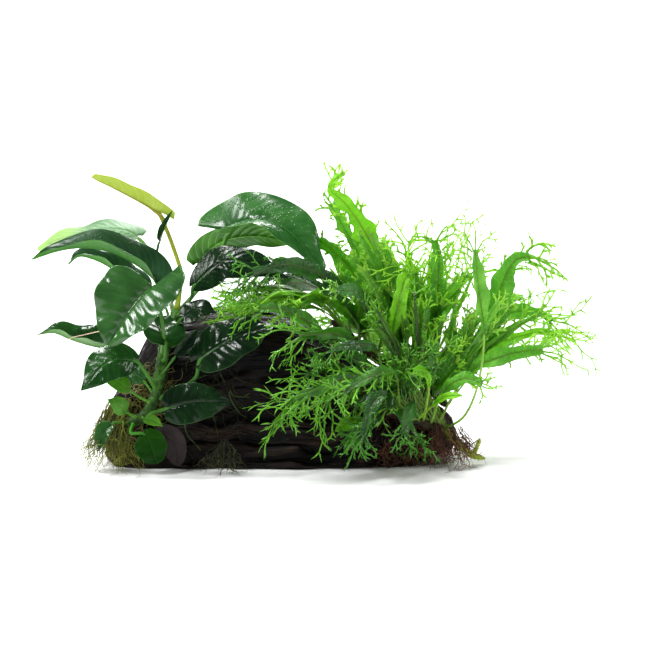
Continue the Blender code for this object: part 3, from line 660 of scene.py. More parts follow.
leaves = {
    "young_lime": dict(place=0.97, bladeFrom=4, half=3.7, facing=(0.42, 0.5, 0.75), cup=2.0, lobe=8.0,
        skew=0.5, finish="lime", stalk=1.15, outline=(0.55, 0.3), taper=0.0,
        route=((-62, -2, 110), (-64, 0, 119), (-71, 3, 138), (-77, 2, 149), (-97, 0, 161), (-115, -3, 170))),
    "young_dark": dict(place=0.86, bladeFrom=2, half=1.9, facing=(-0.8, -0.8, 0.1), cup=1.4, lobe=0.0,
        finish="dark", stalk=0.6,
        route=((-77, 3, 110), (-75, 0, 131), (-67, -5, 150))),
    "back_pale": dict(place=0.93, bladeFrom=2, half=14.0, facing=(0.0, -0.35, 1.0), cup=-0.15, lobe=3.0,
        finish="pale", outline=(0.6, 0.42), taper=0.0, quilt=1.5,
        route=((-74, 26, 106), (-91, 40, 128), (-107, 43, 132), (-122, 42, 130), (-138, 40, 126),
            (-151, 36, 120))),
    "arching": dict(place=0.78, bladeFrom=2, half=13.5, facing=(0.0, -0.15, 1.0), cup=0.9, lobe=3.0,
        finish="arch", outline=(0.55, 0.7), taper=0.55,
        route=((-75, -16, 92), (-75, -13, 106), (-84, -10, 116), (-102, -9, 126), (-120, -10, 129),
            (-136, -12, 127), (-150, -14, 122))),
    "under_arch": dict(place=0.83, bladeFrom=2, half=9.5, facing=(0.0, -0.15, 1.0), cup=0.9, lobe=1.0,
        finish="arch",
        route=((-80, 6, 91), (-82, 7, 101), (-97, 8, 109), (-110, 9, 117), (-123, 8, 121), (-130, 5, 116))),
    "heart": dict(place=0.6, bladeFrom=3, half=24.0, facing=(-0.3, -0.85, 0.45), cup=0.45, lobe=9.0,
        skew=1.3, finish="heart", outline=(0.53, 0.62), taper=0.2, slim=0.12, quilt=1.8,
        route=((-71, -42, 84), (-74, -40, 103), (-77, -46, 111), (-90, -50, 98), (-103, -54, 77))),
    "left": dict(place=0.4, bladeFrom=2, half=11.0, facing=(0.0, -0.2, 1.0), cup=1.0, lobe=3.0,
        finish="dark", outline=(0.55, 0.7),
        route=((-92, -22, 62), (-101, -21, 69), (-115, -16, 71), (-127, -13, 74), (-138, -12, 78),
            (-148, -10, 76))),
    "lower_left": dict(place=0.36, bladeFrom=2, half=12.0, facing=(-0.1, -1.0, 0.7), cup=-0.2, lobe=4.0,
        finish="dark",
        route=((-82, -50, 62), (-88, -52, 68), (-103, -57, 68), (-118, -62, 52))),
    "shaded": dict(place=0.68, bladeFrom=2, half=7.5, facing=(-0.3, -0.9, 1.0), cup=-0.1, lobe=2.0,
        finish="shade", quilt=0.4,
        route=((-66, -32, 82), (-60, -33, 90), (-50, -32, 96), (-40, -34, 93))),
    "centre": dict(place=0.3, bladeFrom=3, half=14.5, facing=(-0.1, -1.0, 0.75), cup=-0.1, lobe=7.0,
        finish="shade", outline=(0.6, 0.62),
        route=((-61, -45, 50), (-52, -47, 57), (-48, -48, 69), (-30, -50, 81), (-5, -49, 89))),
    "dark_low": dict(place=0.18, half=12.0, facing=(-0.05, -1.0, 0.3), cup=-0.05, lobe=4.0, finish="shade",
        outline=(0.6, 0.62), quilt=1.4,
        route=((-68, -54, 40), (-52, -56, 44), (-31, -56, 44))),
    "top": dict(place=0.99, bladeFrom=2, half=17.0, facing=(-0.1, -0.45, 1.0), cup=0.6, lobe=14.0, skew=0.35,
        finish="bright", outline=(0.66, 0.75), taper=0.1, lobesFrom=0.32,
        route=((-46, 16, 108), (-33, 16, 134), (-22, 12, 142), (-8, 8, 142), (5, 3, 134), (16, -2, 122),
            (24, -6, 115))),
    "green_back": dict(place=0.91, bladeFrom=2, half=12.5, facing=(-0.3, -0.7, 1.0), cup=0.15, lobe=6.0,
        finish="vivid", outline=(0.5, 0.5), taper=0.2, quilt=1.6,
        route=((-52, 24, 101), (-50, 28, 115), (-42, 30, 124), (-31, 31, 128), (-15, 31, 129),
            (5, 29, 125))),
    "gloss": dict(place=0.88, bladeFrom=2, half=11.5, facing=(-0.15, -1.0, 0.8), cup=-0.2, lobe=4.0,
        finish="shade",
        route=((-56, -12, 98), (-53, -14, 107), (-37, -16, 121), (-18, -18, 120), (2, -20, 112))),
    "round": dict(place=0.08, bladeFrom=2, half=9.5, facing=(0.2, -1.0, 0.3), cup=0.05, lobe=2.0,
        finish="round", outline=(0.82, 0.55), taper=-0.3,
        route=((-90, -53, 25), (-82, -57, 25), (-78, -59, 18), (-75, -60, 8))),
    "folded_dark": dict(place=0.02, bladeFrom=2, half=5.0, facing=(-0.5, -1.0, 0.4), cup=0.5, lobe=0.0,
        finish="dark",
        route=((-98, -47, 30), (-101, -50, 30), (-106, -52, 25), (-109, -53, 14))),
    "round_small": dict(place=0.12, half=5.0, facing=(0.0, -1.0, 0.3), cup=-0.1, lobe=1.0, finish="small",
        route=((-93, -54, 38), (-97, -57, 43), (-103, -58, 46))),
    "light": dict(place=0.26, bladeFrom=2, half=5.0, facing=(0.2, -1.0, 0.6), cup=-0.1, lobe=1.0,
        finish="small",
        route=((-86, -52, 47), (-91, -54, 51), (-98, -52, 56), (-108, -49, 59))),
    "small_dark": dict(place=0.32, half=5.0, facing=(0.3, -1.0, 0.5), cup=-0.1, lobe=1.0, finish="bright",
        route=((-83, -38, 53), (-90, -40, 59), (-101, -40, 66))),
    "folded_light": dict(place=0.15, half=3.2, facing=(0.0, -1.0, 0.6), cup=0.4, lobe=0.0, finish="small",
        route=((-82, -54, 34), (-77, -56, 33), (-71, -57, 30))),
    "bright_under": dict(place=0.55, bladeFrom=2, half=13.0, facing=(0.1, -0.2, 1.0), cup=0.35, lobe=5.0,
        skew=-0.2, finish="dark", outline=(0.5, 0.55),
        route=((-70, -40, 68), (-70, -41, 78), (-74, -33, 85), (-79, -22, 90))),
    "half_open": dict(place=0.46, bladeFrom=2, half=3.6, facing=(0.4, -1.0, 0.2), cup=0.6, lobe=0.0,
        finish="shade",
        route=((-70, -45, 61), (-64, -45, 69), (-56, -44, 78), (-50, -43, 86))),
    "old_brown": dict(place=0.0, bladeFrom=2, half=7.5, facing=(0.05, -1.0, 0.1), cup=0.02, lobe=1.0,
        finish="old", outline=(0.75, 0.6), taper=0.0,
        route=((-88, -47, 20), (-75, -46, 24), (-66, -46, 18), (-62, -46, 3))),
}

blade = dict(
    step=1.0,  # millimetres between rows
    columns=(0.0, 0.025, 0.06, 0.12, 0.2, 0.29, 0.38, 0.47, 0.56, 0.65, 0.74, 0.83, 0.91, 0.97, 1.0),
    thick=0.55,
    stalkRadius=1.15,
    sheathRadius=1.8,
    knee=0.25,  # how much the stalk swells just below the blade
    veinSweep=0.2,
    veinGap=5.2,
    quilt=0.42,
    wave=0.08,
    waves=2.6,  # along one edge
    groove=0.3,
    outline=(0.66, 0.75),
    taper=0.45,
    least=0.12,  # half width at the very tip
    lobeWidth=0.14,  # least share of the width at the blade's foot, where it has lobes
    stalkSteps=26,
    ribSides=10,
    ribInset=0.25,
    patches=55.0,  # to a metre, as are the next three
    cells=900.0,
    fine=1900.0,
    beads=520.0,
    lobesFrom=0.16,  # the lobes run back along the blade's direction at this share of its length
)


def splitLine(stem, spec, stalkSteps, bladeStep):
    # The stalk's points and the blade's points along one smooth route from the creeping stem. The blade
    # begins at the route's first point, or at the one that bladeFrom numbers.
    points = [startOn(stem, spec["place"], spec["route"][0])]
    points += [np.array(point, float) for point in spec["route"]]
    fine, length = through(points, np.linspace(0, 1, 600))
    join = np.argmin(np.linalg.norm(fine - points[spec.get("bladeFrom", 1)], axis=1)) / 599
    bladeLength = length * (1 - join)
    rows = max(14, int(bladeLength / bladeStep))
    stalk, _ = through(points, np.linspace(0, join, stalkSteps))
    line, _ = through(points, np.linspace(join, 1, rows))
    return stalk, line, bladeLength


def leafShape(name, spec):
    # Width goes as sin(pi t^a)^b and draws in to a point. The blade cups across its width, its edge waves,
    # its lobes slip back beside the stalk, and it puffs up between the swept side veins.
    rng = np.random.default_rng(seedOf(name))
    stalk, line, length = splitLine(stems["anubias"], spec, blade["stalkSteps"], blade["step"])
    ahead, side, up = frames(line, spec["facing"])
    t = np.linspace(0, 1, len(line))[:, None]
    v = mirrored(blade["columns"])
    size = np.abs(v)
    early, full = spec.get("outline", blade["outline"])
    width = np.sin(math.pi * np.clip(t, 0.0, 1.0) ** early) ** full
    width = width * (1 - spec.get("taper", blade["taper"]) * smooth((t - 0.7) / 0.3))
    lobed = blade["lobeWidth"] * (1 - t) ** 30 * bool(spec["lobe"])
    width = spec["half"] * np.maximum(width, lobed) + blade["least"]
    reach = width * v * (1 - spec.get("slim", 0.0) * (v > 0))
    lift = spec["cup"] * np.abs(reach) * (1 - 0.3 * size)
    left, right = rng.uniform(0, fullTurn, 2)
    sway = np.sin(2 * math.pi * blade["waves"] * t + np.where(v > 0, left, right))
    lift = lift + spec["half"] * blade["wave"] * size**2.4 * sway * smooth(4 * t) ** 0.5
    veins = length / blade["veinGap"] * (t**0.9 - blade["veinSweep"] * size**1.4)
    veins = veins + 0.25 * (v > 0)
    puff = np.abs(np.sin(math.pi * veins)) ** 0.55 * smooth(size / 0.14) * (1 - size**5) * smooth(6 * (1 - t))
    lift = lift + blade["quilt"] * spec.get("quilt", 1.0) * min(1.0, spec["half"] / 11) * puff
    lift = lift - blade["groove"] * np.exp(-((size / 0.05) ** 2)) * smooth(8 * (1 - t))
    slip = -spec["lobe"] * (1 - t) ** 4 * size**2 * (1 + spec.get("skew", 0.0) * np.sign(v))
    lobeRow = int(spec.get("lobesFrom", blade["lobesFrom"]) * len(line))
    onward = ahead[np.maximum(np.arange(len(line)), lobeRow)]
    top = line[:, None] + reach[..., None] * side[:, None] + lift[..., None] * up[:, None]
    top = top + slip[..., None] * onward[:, None]
    thick = blade["thick"] * (1 - 0.55 * size**4) * (0.4 + 0.6 * smooth(8 * (1 - t)))
    body = shell(top, thick, dict(across=size, veins=veins, along=t))
    ribLine = top[:, v.size // 2] - up * (thick[:, :1] + blade["ribInset"])
    whole = np.concatenate([stalk[:-1], ribLine[1:]])
    share = np.linspace(0, 1, len(stalk) - 1)
    knee = 1 + blade["knee"] * np.exp(-(((share - 0.94) / 0.05) ** 2))
    sheath = (blade["sheathRadius"] - blade["stalkRadius"]) * (1 - share) ** 6
    stalkRadius = (blade["stalkRadius"] + sheath) * knee
    scale = spec.get("stalk", min(1.0, 0.42 + spec["half"] / 22))
    ribRadius = np.interp(t[1:, 0], (0, 0.12, 1), (0.95, 0.62, 0.1))
    radius = np.concatenate([stalkRadius, ribRadius]) * scale
    rib = tubes(whole[None], radius[None], 0.95 * radius[None], spec["facing"], blade["ribSides"])
    rib["marks"] = {
        "stalk": np.ones(len(rib["points"])),
        "under": np.ones(len(rib["points"])),
        "along": np.repeat(np.concatenate([0 * share, t[1:, 0]]), blade["ribSides"]),
        "foot": np.repeat(np.concatenate([1 - share, 0 * ribRadius]), blade["ribSides"]),
    }
    return joined([body, rib])


def leafMaterial(name, finish):
    # Green that lightens on the veins and beneath, glossy above, with light coming through the blade.
    material, tree = startMaterial("anubias_leaf_" + name)
    where = place(tree)
    patch = noise(tree, where, blade["patches"], 3.0)
    cell = cells(tree, where, blade["cells"], "DISTANCE_TO_EDGE")
    fine = noise(tree, where, blade["fine"], 2.0)
    under, stalk, across = mark(tree, "under"), mark(tree, "stalk"), mark(tree, "across")
    veinLine = ramp(tree, maths(tree, "PINGPONG", mark(tree, "veins"), 0.5), 0.11, 0.0)
    thread = ramp(tree, maths(tree, "PINGPONG", times(tree, mark(tree, "veins"), 4.0), 0.5), 0.2, 0.0)
    midrib = ramp(tree, across, 0.055, 0.015)
    edge = ramp(tree, across, 0.955, 1.0)
    color = blend(tree, ramp(tree, patch, 0.3, 0.7), finish["deep"], finish["fresh"])
    for lines, strength in ((veinLine, 1.0), (thread, 0.5), (midrib, 1.4)):
        color = blend(tree, times(tree, lines, strength * finish["veinShare"]), color, finish["vein"])
    below = blend(tree, ramp(tree, patch, 0.3, 0.7, 0.0, 0.4), finish["below"], finish["vein"])
    below = blend(tree, times(tree, veinLine, 0.5), below, finish["vein"])
    color = blend(tree, under, color, below)
    if "tip" in finish:
        color = blend(tree, ramp(tree, mark(tree, "along"), 0.45, 0.72), color, finish["tip"])
    color = blend(tree, times(tree, edge, 0.6), color, finish["edge"])
    color = blend(tree, stalk, color, blend(tree, mark(tree, "foot"), finish["stalk"], finish["below"]))
    rough = ramp(tree, patch, 0.25, 0.75, finish["rough"], finish["rough"] + 0.1)
    rough = maths(tree, "ADD", rough, times(tree, under, 0.3))
    bead = cells(tree, where, blade["beads"], "F1")
    beads = times(tree, ramp(tree, bead, 0.42, 0.05), ramp(tree, patch, 0.42, 0.58))
    relief = bump(tree, ramp(tree, cell, 0.0, 0.25), 0.1, 0.0001)
    relief = bump(tree, veinLine, -0.35, 0.0003, relief)
    relief = bump(tree, fine, 0.12, 0.0001, relief)
    relief = bump(tree, beads, finish.get("wet", 0.35), 0.0005, relief)
    endMaterial(tree, color, rough, relief, finish.get("specular", 0.24), finish["clear"], finish["glow"])
    return material


leafFinishes = {
    "heart": dict(
        deep=(0.012, 0.052, 0.01), fresh=(0.026, 0.1, 0.018), vein=(0.06, 0.19, 0.04), veinShare=0.14,
        below=(0.06, 0.2, 0.016), edge=(0.06, 0.18, 0.03), stalk=(0.04, 0.14, 0.02), rough=0.13,
        clear=0.05, glow=(0.1, 0.42, 0.02), specular=0.42, wet=0.1,
    ),
    "dark": dict(
        deep=(0.004, 0.028, 0.004), fresh=(0.015, 0.068, 0.011), vein=(0.05, 0.16, 0.034), veinShare=0.16,
        below=(0.06, 0.2, 0.016), edge=(0.08, 0.22, 0.036), stalk=(0.04, 0.14, 0.02), rough=0.12,
        clear=0.06, glow=(0.1, 0.42, 0.02), specular=0.2,
    ),
    # shade: a darker copy of the leaf colours for the leaves that lie under others, their own dark green with
    # painted shade
    "shade": dict(
        deep=(0.002, 0.008, 0.003), fresh=(0.005, 0.022, 0.005), vein=(0.018, 0.056, 0.016), veinShare=0.22,
        below=(0.05, 0.16, 0.016), edge=(0.036, 0.1, 0.02), stalk=(0.04, 0.13, 0.02), rough=0.11,
        clear=0.01, glow=(0.08, 0.34, 0.02), specular=0.16,
    ),
    "arch": dict(
        deep=(0.01, 0.036, 0.014), fresh=(0.022, 0.066, 0.026), vein=(0.07, 0.16, 0.07), veinShare=0.3,
        below=(0.036, 0.21, 0.002), edge=(0.07, 0.24, 0.01), stalk=(0.05, 0.17, 0.022), rough=0.2,
        clear=0.12, glow=(0.12, 0.6, 0.004), specular=0.12,
    ),
    "bright": dict(
        deep=(0.012, 0.076, 0.012), fresh=(0.034, 0.14, 0.024), vein=(0.07, 0.21, 0.05), veinShare=0.2,
        below=(0.09, 0.3, 0.024), edge=(0.1, 0.3, 0.04), stalk=(0.08, 0.26, 0.03), rough=0.16,
        clear=0.1, glow=(0.14, 0.5, 0.03), specular=0.34, wet=0.7,
    ),
    "vivid": dict(
        deep=(0.016, 0.08, 0.006), fresh=(0.042, 0.15, 0.01), vein=(0.17, 0.34, 0.08), veinShare=0.6,
        below=(0.1, 0.28, 0.03), edge=(0.12, 0.3, 0.04), stalk=(0.08, 0.26, 0.03), rough=0.42,
        clear=0.16, glow=(0.2, 0.54, 0.02), specular=0.08,
    ),
    "pale": dict(
        deep=(0.1, 0.21, 0.1), fresh=(0.16, 0.31, 0.15), vein=(0.26, 0.43, 0.24), veinShare=0.3,
        below=(0.25, 0.48, 0.17), edge=(0.22, 0.4, 0.18), stalk=(0.12, 0.3, 0.05), rough=0.38,
        clear=0.22, glow=(0.35, 0.62, 0.2), tip=(0.3, 0.5, 0.14),
    ),
    "lime": dict(
        deep=(0.33, 0.5, 0.045), fresh=(0.56, 0.64, 0.14), vein=(0.64, 0.74, 0.22), veinShare=0.3,
        below=(0.44, 0.56, 0.06), edge=(0.25, 0.52, 0.02), stalk=(0.36, 0.33, 0.05), rough=0.36,
        clear=0.3, glow=(0.62, 0.78, 0.1),
    ),
    "small": dict(
        deep=(0.024, 0.12, 0.006), fresh=(0.08, 0.25, 0.014), vein=(0.18, 0.4, 0.05), veinShare=0.3,
        below=(0.15, 0.38, 0.04), edge=(0.22, 0.5, 0.05), stalk=(0.06, 0.18, 0.02), rough=0.24,
        clear=0.2, glow=(0.25, 0.66, 0.03),
    ),
    "round": dict(
        deep=(0.003, 0.026, 0.001), fresh=(0.007, 0.048, 0.001), vein=(0.014, 0.08, 0.003), veinShare=0.2,
        below=(0.05, 0.23, 0.015), edge=(0.04, 0.2, 0.01), stalk=(0.04, 0.16, 0.02), rough=0.34,
        clear=0.05, glow=(0.05, 0.4, 0.005), specular=0.08,
    ),
    "old": dict(
        deep=(0.022, 0.017, 0.017), fresh=(0.042, 0.033, 0.032), vein=(0.06, 0.047, 0.042), veinShare=0.2,
        below=(0.05, 0.038, 0.032), edge=(0.07, 0.05, 0.04), stalk=(0.05, 0.035, 0.02), rough=0.62,
        clear=0.0, glow=(0.1, 0.08, 0.05), specular=0.1,
    ),
}
leafPaints = {name: leafMaterial(name, finish) for name, finish in leafFinishes.items()}
slotsOfFinishes = dict(old="old_leaf", lime="anubias_young_leaf", small="anubias_young_leaf")
for key, spec in leaves.items():
    name = "anubias_leaf_" + key
    slotName = slotsOfFinishes.get(spec["finish"], "anubias_leaf")
    addPiece(name + "_blade", leafShape(name, spec), leafPaints[spec["finish"]], slotName, name)
print("stage: anubias leaves,", len(leaves))


# Fern fronds: stalk, narrow puckered blade, and a tip that forks into antlers

fronds = {
    "tall_lime": dict(stem="top", place=0.6, half=7.5, facing=(0.2, -1.0, 0.2), reach=4, spread=16, droop=0,
        finish="lime", twist=-20.0, keel=0.15, narrows=0.66, drawsFrom=0.55, edgeReach=20, forks=3,
        route=((67, 4, 80), (63, 8, 104), (48, 8, 135), (36, 5, 153), (28, 4, 160), (29, 4, 166),
            (35, 5, 171))),
    "tall_silver": dict(stem="top", place=0.47, half=6.5, facing=(0.2, -1.0, 0.2), reach=12, spread=35,
        droop=4, finish="silver", forks=3,
        route=((60, 20, 84), (47, 26, 113), (35, 26, 136), (27, 22, 150))),
    "tall_shaded": dict(stem="top", place=0.34, half=6.0, facing=(0.2, -1.0, 0.2), reach=8, spread=40,
        droop=4, finish="green", forks=3,
        route=((52, 33, 82), (42, 38, 104), (30, 39, 118), (20, 37, 126))),
    "wet_bend": dict(stem="top", place=0.4, half=6.0, facing=(0.2, -1.0, 0.6), reach=12, spread=40, droop=5,
        finish="wet", twist=10.0, forks=4,
        route=((58, -9, 78), (52, -17, 93), (43, -24, 103), (31, -30, 106))),
    "broad_front": dict(stem="front", place=0.4, half=6.5, facing=(0.1, -1.0, 0.1), reach=6, spread=34,
        droop=4, finish="lime", twist=15.0, narrows=0.5, forks=1,
        route=((64, -22, 74), (67, -24, 96), (71, -20, 110), (74, -9, 113))),
    "upright": dict(stem="top", place=0.86, half=5.2, facing=(0.0, -1.0, 0.1), reach=26, spread=62, droop=2,
        finish="green",
        route=((88, 1, 68), (91, -1, 96), (92, -3, 122), (90, -3, 132))),
    "upright_back": dict(stem="top", place=0.78, half=5.5, facing=(0.1, -1.0, 0.1), reach=18, spread=45,
        droop=4, finish="green",
        route=((92, 22, 69), (99, 28, 90), (110, 31, 106))),
    "curved_stalk": dict(stem="front", place=0.66, bladeFrom=3, half=5.2, facing=(0.0, -1.0, 0.0), reach=28,
        spread=55, droop=0, finish="silver",
        route=((107, -31, 31), (115, -33, 52), (118, -33, 80), (115, -31, 102), (112, -28, 130))),
    "broad_right": dict(stem="top", place=0.95, half=7.6, facing=(0.0, -1.0, 0.3), reach=27, spread=38,
        droop=14, finish="green", twist=12.0, fringe=0.75,
        route=((110, 6, 57), (124, 10, 80), (131, 12, 104), (138, 12, 117), (147, 12, 120))),
    "arching_right": dict(stem="top", place=0.9, half=4.8, facing=(0.0, -0.8, 0.7), reach=37, spread=26,
        droop=5, finish="green", fringe=0.6,
        route=((106, 23, 52), (120, 28, 70), (135, 31, 81), (151, 31, 83), (162, 29, 77))),
    "thin_lime": dict(stem="top", place=0.99, half=3.5, facing=(0.0, -1.0, 0.4), reach=24, spread=30,
        droop=4, finish="lime", fringe=0.84,
        route=((110, -3, 48), (122, -4, 66), (137, -5, 73), (153, -6, 77), (163, -6, 76))),
    "low_right": dict(stem="front", place=0.62, half=5.2, facing=(0.0, -0.9, 0.5), reach=25, spread=38,
        droop=7, finish="green", fringe=0.6,
        route=((102, -16, 43), (112, -19, 56), (124, -22, 63), (138, -25, 68), (153, -27, 70))),
    "short_right": dict(stem="front", place=0.57, half=4.5, facing=(0.0, -0.8, 0.6), reach=15, spread=40,
        droop=3, finish="green",
        route=((92, -41, 44), (98, -47, 53), (107, -51, 57), (116, -53, 54))),
    "spoon": dict(stem="front", place=0.48, half=3.5, facing=(0.0, -0.8, 0.6), reach=0, spread=0, droop=0,
        finish="lime",
        route=((87, -48, 40), (94, -57, 47), (104, -62, 49))),
    "lime_middle": dict(stem="top", place=0.7, half=5.5, facing=(0.0, -1.0, 0.1), reach=7, spread=30,
        droop=3, finish="silver", forks=2, narrows=0.4,
        route=((77, 14, 70), (77, 18, 94), (74, 18, 114))),
    "arching_left_upper": dict(stem="top", place=0.26, half=5.5, facing=(0.3, -0.7, 0.7), reach=24,
        spread=45, droop=10, finish="deep",
        route=((42, -4, 84), (26, -12, 109), (9, -21, 119), (-4, -29, 121), (-18, -37, 117))),
    "arching_left_middle": dict(stem="top", place=0.17, half=5.0, facing=(0.3, -0.7, 0.7), reach=22,
        spread=45, droop=8, finish="deep",
        route=((36, 8, 88), (22, 6, 101), (8, 4, 108), (-4, 0, 109), (-14, -3, 106))),
    "arching_left_front": dict(stem="front", place=0.05, half=5.0, facing=(0.3, -0.7, 0.7), reach=26,
        spread=45, droop=10, finish="leafy",
        route=((27, -28, 74), (11, -34, 89), (-3, -39, 96), (-14, -42, 97))),
    "far_left": dict(stem="top", place=0.07, half=5.0, facing=(0.2, -0.6, 0.8), reach=26, spread=50, droop=8,
        finish="leafy",
        route=((20, 15, 92), (0, 12, 97), (-16, 4, 96), (-27, -4, 93))),
    "left_short": dict(stem="front", place=0.12, half=4.5, facing=(0.3, -0.8, 0.6), reach=26, spread=42,
        droop=8, finish="leafy",
        route=((42, -38, 70), (32, -46, 82), (20, -53, 84), (9, -58, 84))),
    "left_dark": dict(stem="front", place=0.29, half=4.5, facing=(0.3, -0.8, 0.6), reach=22, spread=42,
        droop=8, finish="deep",
        route=((55, -46, 72), (47, -52, 77), (37, -55, 77), (27, -58, 75))),
    "front_left": dict(stem="front", place=0.19, half=3.6, facing=(0.2, -0.9, 0.5), reach=24, spread=40,
        droop=3, finish="leafy", fringe=0.2,
        route=((45, -58, 57), (36, -66, 60), (26, -70, 57), (14, -72, 52))),
    "front_bright": dict(stem="front", place=0.36, half=3.2, facing=(0.2, -0.9, 0.5), reach=16, spread=42,
        droop=4, finish="leafy", fringe=0.15, edgeReach=30,
        route=((66, -62, 60), (59, -72, 65), (50, -78, 63), (35, -81, 55))),
    "down_front": dict(stem="front", place=0.24, half=4.0, facing=(0.0, -1.0, 0.3), reach=20, spread=34,
        droop=2, finish="deep", fringe=0.3,
        route=((60, -52, 45), (57, -64, 50), (51, -73, 44), (46, -77, 28))),
    "down_right": dict(stem="front", place=0.44, half=3.8, facing=(0.0, -1.0, 0.3), reach=14, spread=36,
        droop=1, finish="deep", fringe=0.3,
        route=((76, -54, 44), (73, -66, 40), (70, -72, 28))),
    "pale_short": dict(stem="front", place=0.14, half=4.5, facing=(0.1, -0.8, 0.7), reach=0, spread=0,
        droop=0, finish="lime",
        route=((44, -46, 34), (37, -54, 31), (30, -58, 27))),
    "pale_broad": dict(stem="front", place=0.52, half=6.0, facing=(0.2, -0.9, 0.5), reach=0, spread=0,
        droop=0, finish="lime",
        route=((85, -50, 52), (82, -60, 62), (75, -68, 64))),
    "back_left": dict(stem="top", place=0.03, half=6.0, facing=(0.2, 0.8, 0.6), reach=24, spread=45,
        droop=10, finish="deep",
        route=((26, 42, 90), (6, 60, 96), (-16, 72, 84))),
    "back_middle": dict(stem="top", place=0.54, half=6.5, facing=(0.0, 1.0, 0.3), reach=24, spread=45,
        droop=8, finish="green",
        route=((62, 40, 78), (58, 56, 104), (48, 66, 116))),
    "back_right": dict(stem="top", place=0.82, half=6.0, facing=(0.0, 0.9, 0.5), reach=24, spread=45,
        droop=10, finish="green",
        route=((104, 40, 62), (124, 58, 82), (146, 70, 84))),
}

lace = dict(
    bladeStep=1.1,
    youngStep=1.9,
    slender=2.6,  # half width below which a blade has fewer columns
    columns=(0.0, 0.05, 0.12, 0.26, 0.42, 0.58, 0.74, 0.88, 1.0),
    thick=0.42,
    stalkRadius=0.72,
    # lengths along the blade and heights, as shares of its width, of the waves of its edge and face
    ruffle=dict(gap=13.0, height=0.34),
    bulge=dict(gap=7.5, height=0.4),
    notch=dict(gap=2.8, height=0.15),
    pucker=dict(gap=3.8, height=1.15),
    narrows=0.25,  # how much a blade draws in towards its tip, and from which share of its length
    drawsFrom=0.55,
    twist=50.0,
    keel=(0.05, 0.55),
    leans=(-1.0, -0.35, 0.35, 1.0),  # the four arms of a tip: share of the spread, length and place across it
    lengths=(0.8, 1.0, 0.92, 0.75),
    places=(-0.75, -0.25, 0.25, 0.75),
    armShare=0.25,  # of the reach, up to an arm's first fork
    onward=dict(angle=(4.0, 20.0), length=(0.82, 1.05), width=(0.84, 0.96), fewer=(1, 2)),
    aside=dict(angle=(28.0, 58.0), length=(0.7, 1.15), width=(0.7, 0.92), fewer=(2, 5)),
    ribbon=dict(share=0.58, width=(1.5, 2.5)),  # of the blade's half width, for the arms of its tip
    edgeRibbon=(1.0, 1.9),
    fringe=0.55,  # share of the blade from which ribbons leave its edges, and the gap between them
    fringeGap=4.6,
    fringeGapYoung=8.0,
    tuck=1.2,  # how far the arms start inside the blade's end
    edgeInset=0.84,
    edgeLean=(20, 55),
    edgeLength=(0.12, 0.28),
    wobble=0.15,  # how far each arm's first direction strays
    bend=0.26,  # sideways over one stretch between forks, and curl towards the ribbon's face
    curl=(-0.22, 0.3),
    sag=0.009,  # downwards, for each unit of a frond's droop
    overlap=0.3,  # of its parent's width, by which a child starts inside it
    turnedFace=0.3,
    roll=55.0,
    thickShare=0.15,
    leastThick=0.1,
    stations=4,
    patches=70.0,  # to a metre, as are the next three
    coarse=620.0,
    cells=700.0,
    fine=2200.0,
)


def forkedTips(rng, base, ahead, face, length, width, forks, droop, stations):
    # Flat ribbons that fork again and again. At a fork one child runs on nearly straight, and the other
    # leaves to one side at a wide angle, shorter and with fewer forks left. Each rolls a little, and the
    # last end in points.
    shapes = []
    most = max(1, int(forks.max()))
    s = np.linspace(0, 1, stations)
    while len(base):
        count = len(base)
        side = unit(np.cross(ahead, face))
        bend, curl = rng.uniform(-lace["bend"], lace["bend"], count), rng.uniform(*lace["curl"], count)
        swing = bend[:, None] * side + curl[:, None] * face - np.array([0, 0, lace["sag"]]) * droop
        paths = base[:, None] + length[:, None, None] * (
            ahead[:, None] * s[:, None] + swing[:, None] * (s**2)[:, None]
        )
        ending = (forks <= 0)[:, None]
        running = 1 - 0.22 * np.sin(math.pi * s)
        pointed = (1 - 0.88 * s**1.6) * (1 + 0.25 * np.sin(math.pi * s))
        wide = 0.5 * width[:, None] * np.where(ending, pointed, running)
        deep = np.maximum(lace["thickShare"] * wide, lace["leastThick"])
        made = tubes(paths, wide, deep, -face[:, None], 4)
        tip = 1 - 0.75 * (np.maximum(forks, 0)[:, None] - s) / (most + 1)
        made["marks"] = {"tip": np.repeat(np.clip(tip, 0, 1).ravel(), 4)}
        shapes.append(made)
        going = ~ending[:, 0]
        end, aim = paths[going, -1], unit(ahead[going] + 2 * swing[going])
        faceLeft, sideLeft = face[going], side[going]
        lengthLeft, widthLeft, forksLeft = length[going], width[going], forks[going]
        number = len(end)
        way = np.where(rng.random(number) < 0.5, -1.0, 1.0)
        children = []
        for kind, sign in ((lace["onward"], -way), (lace["aside"], way)):
            angle = np.radians(rng.uniform(*kind["angle"], number))
            roll = np.radians(rng.uniform(-lace["roll"], lace["roll"], number))
            out = np.cos(roll)[:, None] * sideLeft + np.sin(roll)[:, None] * faceLeft
            new = unit(np.cos(angle)[:, None] * aim + (sign * np.sin(angle))[:, None] * out)
            flat = faceLeft - (faceLeft * new).sum(-1)[:, None] * new
            children.append((
                end - lace["overlap"] * widthLeft[:, None] * new,
                new,
                unit(flat + lace["turnedFace"] * rng.normal(0, 1, flat.shape)),
                lengthLeft * rng.uniform(*kind["length"], number),
                widthLeft * rng.uniform(*kind["width"], number),
                forksLeft - rng.integers(*kind["fewer"], number),
            ))
        base, ahead, face, length, width, forks = (np.concatenate(pair) for pair in zip(*children))
    return joined(shapes)


